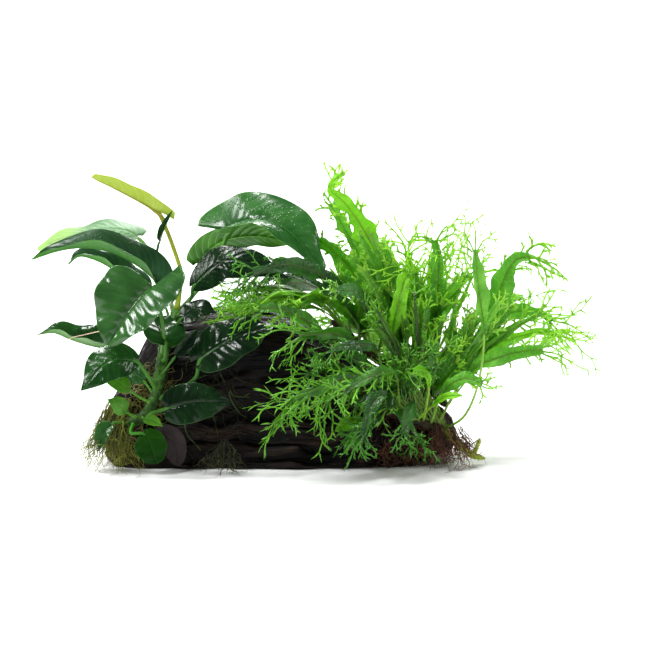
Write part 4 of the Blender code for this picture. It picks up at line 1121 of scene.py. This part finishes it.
def frondShape(spec, seed, young=False):
    # Stalk, blade and forked tip. The blade widens from the stalk and twists along its length, noise waves
    # and notches its edge and ruffles it, its face is puckered between swept side veins, and ribbons leave
    # its edge.
    rng = np.random.default_rng(seed)
    step = lace["bladeStep"] * (1.0 if not young else 1.35 if spec.get("fine") else lace["youngStep"])
    stalk, line, length = splitLine(stems[spec["stem"]], spec, 8 if young else 20, step)
    ahead, side, up = frames(line, spec["facing"])
    t = np.linspace(0, 1, len(line))[:, None]
    s = t * length
    slender = young and spec["half"] < lace["slender"]
    v = mirrored(lace["columns"][:: 4 if slender else 2 if young else 1])
    size = np.abs(v)
    width = 0.9 * spec["half"] * (0.13 + 0.87 * smooth(t / 0.42)) * (1 - 0.3 * t**3)
    drawn = smooth((t - spec.get("drawsFrom", lace["drawsFrom"])) / 0.4)
    width = width * (1 - spec.get("narrows", lace["narrows"]) * drawn)
    if not spec["reach"]:
        width = width * np.sqrt(np.clip(1 - ((t - 0.62) / 0.385).clip(0, 1) ** 2, 0.004, 1))
    turn = np.radians(spec.get("twist", rng.uniform(-lace["twist"], lace["twist"]))) * t
    turn = turn + 0.35 * noiseAt(s / 24.0, 3.0 + 0 * s, seed)
    side, up = side * np.cos(turn) + up * np.sin(turn), up * np.cos(turn) - side * np.sin(turn)
    edge = np.where(v > 0, 40.0, 80.0)
    waves = {name: noiseAt(s / lace[name]["gap"], edge + 0 * s, seed + place) * lace[name]["height"]
             for place, name in enumerate(("ruffle", "bulge", "notch"))}
    reach = width * v * (1 + size**2 * (waves["bulge"] + waves["notch"]))
    lift = 1.5 * width * size**2 * waves["ruffle"]
    lift = lift + spec.get("keel", rng.uniform(*lace["keel"])) * width * size
    pucker = lace["pucker"]
    veins = s / pucker["gap"] - 0.42 * size * width / pucker["gap"] + 0.5 * (v > 0)
    puff = np.abs(np.sin(math.pi * veins)) ** 0.7 * smooth(size / 0.2) * (1 - size**6)
    swell = 0.55 + 0.75 * noiseAt(s / 6.0, 2.5 * v + 20.0, seed + 5)
    lift = lift + pucker["height"] * min(1.0, spec["half"] / 6.5) * puff * swell
    lift = lift + 0.20 * np.exp(-((size / 0.06) ** 2))
    top = line[:, None] + reach[..., None] * side[:, None] + lift[..., None] * up[:, None]
    thick = lace["thick"] * (1 - 0.4 * size**4)
    marks = dict(veins=veins, tip=0.30 * t**2, rib=smooth((0.09 - size) / 0.06))
    body = shell(top, thick, marks)
    whole = np.concatenate([stalk[:-1], line - up * (lace["thick"] + 0.1)])
    share = np.linspace(0, 1, len(stalk) - 1)
    size = min(1.0, 0.55 + spec["half"] / 14.0)
    radius = size * np.concatenate([
        lace["stalkRadius"] * (1.25 - 0.35 * share),
        np.interp(t[:, 0], (0, 0.15, 1), (0.62, 0.4, 0.24)),
    ])
    sides = 5 if young else 8
    rib = tubes(whole[None], radius[None], radius[None], spec["facing"], sides)
    rib["marks"] = {
        "stalk": np.repeat(np.concatenate([1 + 0 * share, 1 - smooth(t[:, 0] / 0.25)]), sides),
        "rib": np.repeat(np.concatenate([0 * share, smooth(t[:, 0] / 0.25)]), sides),
        "foot": np.repeat(np.concatenate([np.clip(1 - 2.5 * share, 0, 1), 0 * t[:, 0]]), sides),
    }
    shapes = [body, rib]
    if spec["reach"]:
        shapes.append(tipLace(rng, spec, line, ahead, side, up, width[:, 0], length, young))
    made = joined(shapes)
    made["marks"]["tint"] = np.full(len(made["points"]), spec.get("tint", 0.5))
    return made


def tipLace(rng, spec, line, ahead, side, up, width, length, young):
    # The four arms at the blade's end, and smaller ribbons along both edges of its outer part.
    leans = np.radians(spec["spread"]) * np.array(lace["leans"])
    end = line[-1] - lace["tuck"] * ahead[-1]
    half = width[-1]
    base = end + half * np.array(lace["places"])[:, None] * side[-1]
    aim = unit(np.cos(leans)[:, None] * ahead[-1] + np.sin(leans)[:, None] * side[-1])
    aim = unit(aim + rng.normal(0, lace["wobble"], aim.shape))
    forks = np.full(4, spec.get("forks", 4 if young else 5))
    armLength = spec["reach"] * np.array(lace["lengths"]) * lace["armShare"] * (5.0 / forks[0])
    wide = np.full(4, np.clip(lace["ribbon"]["share"] * half, *lace["ribbon"]["width"]))
    start = spec.get("fringe", lace["fringe"])
    edges = int(max(1, (1 - start) * length / (lace["fringeGapYoung"] if young else lace["fringeGap"])))
    at = rng.uniform(start, 0.99, 2 * edges)
    row = (at * (len(line) - 1)).astype(int)
    way = np.repeat((-1.0, 1.0), edges)
    lean = np.radians(rng.uniform(*lace["edgeLean"], 2 * edges)) * way
    edgeBase = line[row] + (lace["edgeInset"] * width[row] * way)[:, None] * side[row]
    edgeAim = np.cos(lean)[:, None] * ahead[row] + np.sin(lean)[:, None] * side[row]
    edgeAim = unit(edgeAim + rng.normal(0, lace["wobble"], edgeAim.shape))
    edgeLength = rng.uniform(*lace["edgeLength"], 2 * edges) * spec.get("edgeReach", spec["reach"])
    edgeLength = edgeLength * (0.5 + 0.5 * (at - start) / (1 - start))
    edgeForks = rng.integers(0, 4, 2 * edges)
    return forkedTips(
        rng,
        np.concatenate([base, edgeBase]),
        np.concatenate([aim, edgeAim]),
        np.concatenate([np.repeat(up[-1:], 4, axis=0), up[row]]),
        np.concatenate([armLength, edgeLength]),
        np.concatenate([wide, rng.uniform(*lace["edgeRibbon"], 2 * edges)]),
        np.concatenate([forks, edgeForks]),
        spec["droop"],
        lace["stations"],
    )


# Young fronds between the grown ones: each tuft's fronds leave one stretch of a creeping stem, follow one
# route and spread to the fan's half sizes at their tips
tufts = dict(
    shade=dict(stem="top", places=(0.18, 0.45), count=8, half=(2.8, 4.6), reach=(2, 4), fringe=0.85,
        sizes=(0.8, 1.05), spread=30, droop=3, fan=(13, 8, 7), facing=(0.1, -1.0, 0.2), finish="young",
        forks=1,
        route=((48, 8, 74), (44, 4, 88), (38, 0, 99))),
    tall=dict(stem="top", places=(0.35, 0.8), count=22, half=(3.2, 5.2), reach=(2, 4), fringe=0.85,
        sizes=(0.66, 1.04), spread=30, droop=2, fan=(22, 10, 9), facing=(0.1, -1.0, 0.2), finish="silver",
        forks=1, fine=True,
        route=((68, 4, 72), (60, 0, 100), (45, -2, 128))),
    fan=dict(stem="top", places=(0.7, 1.0), count=20, half=(2.2, 3.8), reach=(4, 8), fringe=0.7,
        sizes=(0.6, 1.05), spread=34, droop=2, fan=(20, 12, 12), facing=(0.0, -1.0, 0.3), finish="silver",
        forks=2,
        route=((96, -4, 46), (107, -6, 70), (116, -6, 92))),
    middle=dict(stem="top", places=(0.4, 0.9), count=12, half=(2.2, 4.0), reach=(6, 10), sizes=(0.6, 1.0),
        spread=36, droop=3, fan=(26, 14, 14), facing=(0.1, -1.0, 0.2), finish="young", forks=2,
        route=((78, 8, 68), (82, 4, 90), (84, 0, 104))),
    upper=dict(stem="top", places=(0.6, 0.95), count=6, half=(1.6, 2.8), reach=(24, 34), sizes=(0.8, 1.0),
        spread=46, droop=2, fan=(24, 14, 10), facing=(0.0, -1.0, 0.1), finish="lime", forks=4,
        route=((88, 6, 64), (93, 4, 94), (95, 0, 122))),
    core=dict(stem="front", places=(0.45, 0.72), count=22, half=(1.8, 3.4), reach=(2, 5), fringe=0.85,
        sizes=(0.6, 1.0), spread=30, droop=2, fan=(20, 9, 12), facing=(0.0, -1.0, 0.3), finish="young",
        forks=1,
        route=((83, -12, 48), (85, -14, 68), (88, -15, 88))),
    right=dict(stem="top", places=(0.8, 1.0), count=4, half=(1.8, 3.0), reach=(14, 22), sizes=(0.8, 1.0),
        spread=30, droop=6, fan=(12, 18, 22), facing=(0.0, -0.8, 0.6), finish="green", forks=3,
        route=((112, 0, 56), (134, -3, 74), (152, -6, 82))),
    left_top=dict(stem="top", places=(0.0, 0.3), count=8, half=(2.0, 3.6), reach=(20, 28),
        sizes=(0.75, 1.05), spread=42, droop=7, fan=(20, 16, 9), facing=(0.3, -0.7, 0.7), finish="young",
        route=((22, 2, 94), (2, -12, 104), (-20, -20, 99))),
    left_front=dict(stem="front", places=(0.03, 0.4), count=6, half=(2.0, 3.4), reach=(20, 28),
        sizes=(0.7, 1.0), spread=42, droop=6, fan=(18, 8, 12), facing=(0.3, -0.8, 0.6), finish="leafy",
        route=((34, -46, 58), (20, -58, 60), (6, -64, 52))),
    front=dict(stem="front", places=(0.12, 0.62), count=10, half=(1.8, 3.2), reach=(15, 22),
        sizes=(0.7, 1.0), spread=42, droop=4, fan=(28, 8, 18), facing=(0.1, -0.9, 0.5), finish="leafy",
        route=((60, -42, 48), (57, -52, 60), (50, -60, 62))),
    low=dict(stem="front", places=(0.2, 0.55), count=5, half=(1.8, 3.0), reach=(13, 19), sizes=(0.75, 1.0),
        spread=42, droop=3, fan=(24, 6, 7), facing=(0.0, -1.0, 0.3), finish="deep",
        route=((62, -46, 40), (60, -56, 36), (58, -62, 24))),
    back=dict(stem="top", places=(0.1, 0.95), count=12, half=(2.4, 4.2), reach=(16, 26), sizes=(0.75, 1.05),
        spread=45, droop=8, fan=(46, 10, 18), facing=(0.1, 0.9, 0.4), finish="young",
        route=((64, 34, 60), (64, 48, 80), (62, 58, 88))),
    stalks=dict(stem="front", places=(0.2, 0.75), count=26, half=(0.8, 1.8), reach=(3, 6), sizes=(0.6, 1.1),
        spread=40, droop=2, fan=(30, 12, 14), facing=(0.0, -1.0, 0.2), finish="leafy", forks=1,
        route=((76, -30, 52), (76, -28, 72), (74, -24, 88))),
    thicket=dict(stem="front", places=(0.08, 0.62), count=28, half=(1.4, 2.6), reach=(5, 9),
        sizes=(0.5, 1.05), spread=46, droop=3, fan=(34, 10, 15), facing=(0.0, -0.9, 0.5), finish="deep",
        forks=2,
        route=((64, -38, 48), (60, -46, 62), (54, -50, 72))),
)


def tuftShape(name, tuft):
    # Fronds of one tuft, each on the tuft's route moved and stretched at random, with a tint of its own.
    rng = np.random.default_rng(seedOf(name))
    shapes = []
    for number in range(tuft["count"]):
        spot = rng.uniform(*tuft["places"])
        foot = startOn(stems[tuft["stem"]], spot, tuft["route"][0])
        offset = rng.uniform(-1, 1, 3) * tuft["fan"]
        size = rng.uniform(*tuft["sizes"])
        shares = np.linspace(0.3, 1.0, len(tuft["route"])) ** 1.4
        pairs = zip(np.array(tuft["route"]), shares)
        route = [foot + size * (point - foot) + share * offset for point, share in pairs]
        shapes.append(frondShape(dict(
            stem=tuft["stem"], place=spot, half=rng.uniform(*tuft["half"]),
            facing=np.array(tuft["facing"]) + rng.normal(0, 0.4, 3),
            reach=rng.uniform(*tuft["reach"]), spread=tuft["spread"], droop=tuft["droop"], route=route,
            tint=rng.random(), forks=tuft.get("forks", 4), fine=tuft.get("fine", False),
            fringe=tuft.get("fringe", lace["fringe"]),
        ), seedOf(name) + 101 * number, True))
    return joined(shapes)


def frondMaterial(name, finish):
    # Fresh green that turns yellower to the forked tips, a red-brown midrib, a pale stalk, and light
    # through it. Each frond's tint and a slow noise decide how far it is from the deep to the fresh colour.
    material, tree = startMaterial("fern_frond_" + name)
    where = place(tree)
    patch = noise(tree, where, lace["patches"], 3.0)
    cell = cells(tree, where, lace["cells"], "DISTANCE_TO_EDGE")
    fine = noise(tree, where, lace["fine"], 2.0)
    veinLine = ramp(tree, maths(tree, "PINGPONG", mark(tree, "veins"), 0.5), 0.12, 0.0)
    share = maths(tree, "ADD", patch, times(tree, maths(tree, "SUBTRACT", mark(tree, "tint"), 0.5), 0.7))
    color = blend(tree, ramp(tree, share, 0.25, 0.75), finish["deep"], finish["fresh"])
    color = blend(tree, times(tree, veinLine, 0.22), color, finish["tip"])
    color = blend(tree, ramp(tree, mark(tree, "tip"), 0.25, 0.95), color, finish["tip"])
    color = blend(tree, times(tree, mark(tree, "under"), 0.35), color, finish["tip"])
    color = blend(tree, times(tree, mark(tree, "rib"), 0.85), color, finish["rib"])
    stalk = blend(tree, ramp(tree, mark(tree, "foot"), 0.45, 1.0), finish["stalk"], finish["foot"])
    color = blend(tree, mark(tree, "stalk"), color, stalk)
    rough = ramp(tree, patch, 0.25, 0.75, finish["rough"], finish["rough"] + 0.12)
    coarse = noise(tree, where, lace["coarse"], 2.0)
    relief = bump(tree, ramp(tree, cell, 0.0, 0.25), 0.45, 0.0003)
    relief = bump(tree, veinLine, -0.4, 0.0004, relief)
    relief = bump(tree, coarse, finish.get("wet", 0.5), 0.0008, relief)
    relief = bump(tree, fine, 0.15, 0.0001, relief)
    endMaterial(tree, color, rough, relief, finish.get("specular", 0.3), finish["clear"], finish["glow"])
    return material


frondFinishes = {
    "silver": dict(
        deep=(0.08, 0.3, 0.022), fresh=(0.3, 0.68, 0.09), tip=(0.46, 0.84, 0.09),
        rib=(0.14, 0.11, 0.03), stalk=(0.36, 0.54, 0.1), foot=(0.11, 0.075, 0.025), rough=0.12,
        clear=0.36, glow=(0.38, 0.86, 0.05), specular=0.42, wet=1.0,
    ),
    "green": dict(
        deep=(0.05, 0.23, 0.014), fresh=(0.16, 0.48, 0.036), tip=(0.4, 0.82, 0.07),
        rib=(0.12, 0.055, 0.014), stalk=(0.32, 0.52, 0.08), foot=(0.11, 0.075, 0.025), rough=0.12,
        clear=0.34, glow=(0.36, 0.84, 0.04), specular=0.38, wet=1.0,
    ),
    "lime": dict(
        deep=(0.13, 0.42, 0.016), fresh=(0.28, 0.68, 0.03), tip=(0.52, 0.9, 0.08),
        rib=(0.15, 0.11, 0.02), stalk=(0.4, 0.6, 0.09), foot=(0.13, 0.09, 0.03), rough=0.2,
        clear=0.4, glow=(0.5, 0.94, 0.04),
    ),
    # leafy: a darker copy of the frond colours for the fronds at the front and the left, their own green with
    # painted shade
    "leafy": dict(
        deep=(0.007, 0.06, 0.004), fresh=(0.066, 0.27, 0.012), tip=(0.14, 0.43, 0.02),
        rib=(0.12, 0.055, 0.014), stalk=(0.2, 0.34, 0.05), foot=(0.09, 0.06, 0.02), rough=0.14,
        clear=0.18, glow=(0.22, 0.66, 0.02), specular=0.5, wet=0.7,
    ),
    # deep: darker still, for the fronds that sit deepest in shade, their own deep green with painted shade
    "deep": dict(
        deep=(0.005, 0.042, 0.004), fresh=(0.024, 0.14, 0.008), tip=(0.06, 0.25, 0.012),
        rib=(0.06, 0.07, 0.014), stalk=(0.16, 0.34, 0.05), foot=(0.1, 0.14, 0.024), rough=0.12,
        clear=0.07, glow=(0.1, 0.52, 0.01), specular=0.5, wet=0.8,
    ),
    "wet": dict(
        deep=(0.016, 0.08, 0.012), fresh=(0.05, 0.19, 0.034), tip=(0.2, 0.52, 0.04),
        rib=(0.07, 0.09, 0.016), stalk=(0.16, 0.34, 0.05), foot=(0.09, 0.12, 0.02), rough=0.1,
        clear=0.08, glow=(0.1, 0.52, 0.01), specular=0.6, wet=0.9,
    ),
    "young": dict(
        deep=(0.03, 0.16, 0.01), fresh=(0.17, 0.5, 0.03), tip=(0.4, 0.82, 0.06),
        rib=(0.13, 0.07, 0.016), stalk=(0.32, 0.5, 0.08), foot=(0.11, 0.07, 0.025), rough=0.18,
        clear=0.34, glow=(0.36, 0.84, 0.03),
    ),
}
frondPaints = {name: frondMaterial(name, finish) for name, finish in frondFinishes.items()}
for key, spec in fronds.items():
    name = "fern_frond_" + key
    addPiece(name + "_lace", frondShape(spec, seedOf(name)), frondPaints[spec["finish"]], "fern_frond", name)
for key, tuft in tufts.items():
    name = "fern_tuft_" + key
    addPiece(name, tuftShape(name, tuft), frondPaints[tuft["finish"]], "fern_frond")
print("stage: fern fronds,", len(fronds), "and tufts,", len(tufts))


# Root mats and the thin roots that creep over the wood

rootMats = {
    "anubias_roots_left": dict(
        piece="anubias_root_mat_left", slot="anubias_roots",
        route=((-97, -36, 42), (-102, -42, 20), (-104, -50, 1)),
        top=(7.0, 4.0), foot=(15.0, 8.0), threads=210, thick=0.26, curl=6.5, finish="olive",
    ),
    "anubias_roots_middle": dict(
        piece="anubias_root_mat_middle", slot="anubias_roots",
        route=((-35, -46, 20), (-36, -50, 9), (-36, -57, 1)),
        top=(2.5, 1.4), foot=(14.0, 8.0), threads=46, thick=0.34, curl=4.5, finish="moss",
    ),
    "fern_roots": dict(
        piece="fern_root_mat", slot="fern_roots", route=((95, -31, 26), (98, -35, 13), (99, -38, 1)),
        top=(9.0, 4.0), foot=(16.0, 9.0), threads=120, thick=0.3, curl=6.0, finish="brown",
    ),
}


def threads(rng, paths, girth, u):
    # Four-sided threads along the paths, each with a tint of its own and its share from root to tip.
    count, stations = girth.shape
    made = tubes(paths, girth, girth, rng.normal(0, 1, (count, 1, 3)), 4)
    tint = np.broadcast_to(rng.random((count, 1, 1)), (count, stations, 4))
    made["marks"] = {"tint": tint.ravel(), "share": np.broadcast_to(u[..., None], tint.shape).ravel()}
    return made


def matShape(name, mat):
    # Fine threads along the mat's middle line, spreading to its foot and wandering by three sines.
    rng = np.random.default_rng(seedOf(name))
    count, stations = mat["threads"], 15
    line, _ = through(mat["route"], np.linspace(0, 1, 101))
    begin = rng.uniform(-0.02, 0.55, (count, 1)).clip(0, 1)
    end = begin + rng.uniform(0.35, 1.0, (count, 1)) * (1 - begin)
    u = np.linspace(0, 1, stations)[None, :]
    share = begin + (end - begin) * u
    middle = np.stack([np.interp(share, np.linspace(0, 1, 101), line[:, k]) for k in range(3)], axis=-1)
    wide = mat["top"][0] + (mat["foot"][0] - mat["top"][0]) * share
    deep = mat["top"][1] + (mat["foot"][1] - mat["top"][1]) * share
    x, y = rng.uniform(-1, 1, (count, 1)), rng.uniform(-1, 1, (count, 1))
    flare = 1 + 0.5 * rng.random((count, 1)) * u**2
    paths = middle + np.stack([wide * x * flare, deep * y * flare, 0 * share], axis=-1)
    for turns in (0.7, 1.6, 3.1):
        phase = rng.uniform(0, fullTurn, (count, 1, 3))
        wander = mat["curl"] / turns * 0.5 * np.sin(fullTurn * turns * u[..., None] + phase)
        paths = paths + wander * u[..., None]
    low = 0.35 + 0.8 * rng.random((count, 1))
    paths[..., 2] = np.maximum(paths[..., 2], low)
    return threads(rng, paths, mat["thick"] * rng.uniform(0.5, 1.3, (count, 1)) * (1 - 0.7 * u**2), u)


creepers = dict(
    radius=0.55,
    proud=0.25,
    hanging=((-134, -28, 70), (-127, -30, 77), (-118, -33, 80), (-104, -38, 84)),  # one root in the open air
    hangingRadius=0.3,
    # routes as X and Z on the wood's front
    routes=(
        ((-43, 68), (-41, 63), (-37, 52), (-33, 46), (-30, 41), (-20, 40), (-13, 34), (-3, 27)),
        ((-33, 44), (-32, 39), (-26, 30), (-15, 26)),
        ((-60, 42), (-51, 40), (-46, 34), (-43, 30), (-39, 19), (-35, 14)),
        ((-52, 52), (-45, 55), (-40, 62)),
        ((-60, 30), (-57, 20), (-50, 12), (-46, 4)),
        ((2, 46), (-8, 40), (-17, 44), (-24, 41)),
    ),
)


def rootTube(line, girth, sides, tint):
    # One round tube along a line, in a single tint.
    made = tubes(line[None], girth[None], girth[None], (0.0, -1.0, 0.1), sides)
    made["marks"]["tint"] = np.full(len(made["points"]), tint)
    return made


def creeperShape():
    # Thin tubes that follow the wood's front, thinning to their tips.
    shapes = []
    for route in creepers["routes"]:
        flat = [(x, 0.0, z) for x, z in route]
        line, _ = through(flat, np.linspace(0, 1, 12 * len(route)))
        line[:, 1] = woodFront(line[:, 0], line[:, 2]) - creepers["proud"]
        line[:, 1] = np.convolve(np.pad(line[:, 1], 2, mode="edge"), np.ones(5) / 5, mode="valid") - 0.1
        girth = creepers["radius"] * np.linspace(1.0, 0.35, len(line))
        shapes.append(rootTube(line, girth, 8, 0.6))
    return joined(shapes)


def hangingRoot():
    # The free root, from its tip to where it meets the wood.
    line, _ = through(creepers["hanging"], np.linspace(0, 1, 40))
    return rootTube(line, creepers["hangingRadius"] * np.linspace(0.4, 1.0, len(line)), 6, 1.0)


# Loose threads that wander over a window of the wood's front: heading in degrees from +X, in the front view
tangles = dict(
    anubias_thread_roots=dict(window=((-100, -72), (26, 66)), count=120, length=(10, 28), heading=-78.0,
        swing=45.0, bend=2.2, thick=0.22, arch=6.0, back=-24, finish="straw", slot="anubias_roots"),
    anubias_dark_roots=dict(window=((-74, -28), (26, 78)), count=50, length=(14, 36), heading=-60.0,
        swing=50.0, bend=1.2, thick=0.18, arch=1.2, back=0, finish="moss", slot="anubias_roots"),
    fern_thread_roots=dict(window=((50, 95), (6, 36)), count=150, length=(10, 30), heading=-70.0, swing=50.0,
        bend=1.8, thick=0.2, arch=4.0, back=-24, finish="brown", slot="fern_roots"),
)


def tangleShape(name, tangle):
    # Each thread turns slowly as it runs: its heading adds two sines, and its points add up small steps
    # that way. It starts on the wood's front, nearer than `back`, stands off it in the middle of its
    # length, and hangs free where the wood falls away behind it.
    rng = np.random.default_rng(seedOf(name))
    count, stations = tangle["count"], 16
    u = np.linspace(0, 1, stations)[None, :]
    length = rng.uniform(*tangle["length"], (count, 1))
    turn = np.radians(tangle["heading"] + tangle["swing"] * rng.normal(0, 1, (count, 1)))
    for turns in (0.5, 1.3):
        turn = turn + tangle["bend"] / (1 + turns) * np.sin(fullTurn * (turns * u + rng.random((count, 1))))
    (left, right), (low, high) = tangle["window"]
    step = length / (stations - 1)
    starts = rng.uniform((left, low), (right, high), (4 * count, 2))
    starts = np.resize(starts[woodFront(*starts.T) < tangle["back"]], (count, 2))
    x = starts[:, :1] + np.cumsum(np.cos(turn) * step, axis=1)
    z = starts[:, 1:] + np.cumsum(np.sin(turn) * step, axis=1)
    z = np.abs(z - 0.4) + 0.4
    off = 0.3 + tangle["arch"] * rng.random((count, 1)) * np.sin(math.pi * u)
    front = woodFront(x, z)
    front = np.minimum(front, front[:, :1] + 1.5)
    paths = np.stack([x, front - off, z], axis=-1)
    smoothed = (paths[:, :-2, 1] + paths[:, 1:-1, 1] + paths[:, 2:, 1]) / 3
    paths[:, 1:-1, 1] = smoothed
    return threads(rng, paths, tangle["thick"] * rng.uniform(0.6, 1.5, (count, 1)) * (1 - 0.6 * u**2), u)


def rootMaterial(name, deep, fresh, tip):
    # Each thread has its own tint, and pales to its tip.
    material, tree = startMaterial(name)
    patch = noise(tree, place(tree), 500.0, 3.0)
    color = blend(tree, mark(tree, "tint"), deep, fresh)
    color = blend(tree, times(tree, ramp(tree, mark(tree, "share"), 0.5, 1.0), 0.6), color, tip)
    color = blend(tree, ramp(tree, patch, 0.5, 0.8, 0.0, 0.5), color, deep)
    endMaterial(tree, color, ramp(tree, patch, 0.2, 0.8, 0.4, 0.7), bump(tree, patch, 0.4, 0.0002))
    return material


rootPaints = {
    "olive": rootMaterial("olive_root", (0.018, 0.018, 0.004), (0.17, 0.19, 0.014), (0.32, 0.36, 0.04)),
    "brown": rootMaterial("brown_root", (0.01, 0.004, 0.003), (0.17, 0.068, 0.032), (0.3, 0.15, 0.08)),
    "green": rootMaterial("green_root", (0.016, 0.028, 0.007), (0.045, 0.08, 0.016), (0.09, 0.12, 0.03)),
    "moss": rootMaterial("moss_green_root", (0.005, 0.006, 0.003), (0.026, 0.034, 0.007), (0.09, 0.11, 0.02)),
    "straw": rootMaterial("straw_root", (0.06, 0.05, 0.012), (0.3, 0.28, 0.06), (0.46, 0.44, 0.18)),
    "pink": rootMaterial("pink_root", (0.3, 0.18, 0.12), (0.62, 0.44, 0.33), (0.7, 0.55, 0.4)),
}
for name, mat in rootMats.items():
    addPiece(mat["piece"], matShape(name, mat), rootPaints[mat["finish"]], mat["slot"], name)
addPiece("creeping_roots", creeperShape(), rootPaints["green"], "anubias_roots")
addPiece("hanging_root", hangingRoot(), rootPaints["pink"], "anubias_roots")
for name, tangle in tangles.items():
    addPiece(name, tangleShape(name, tangle), rootPaints[tangle["finish"]], tangle["slot"])
print("stage: roots")
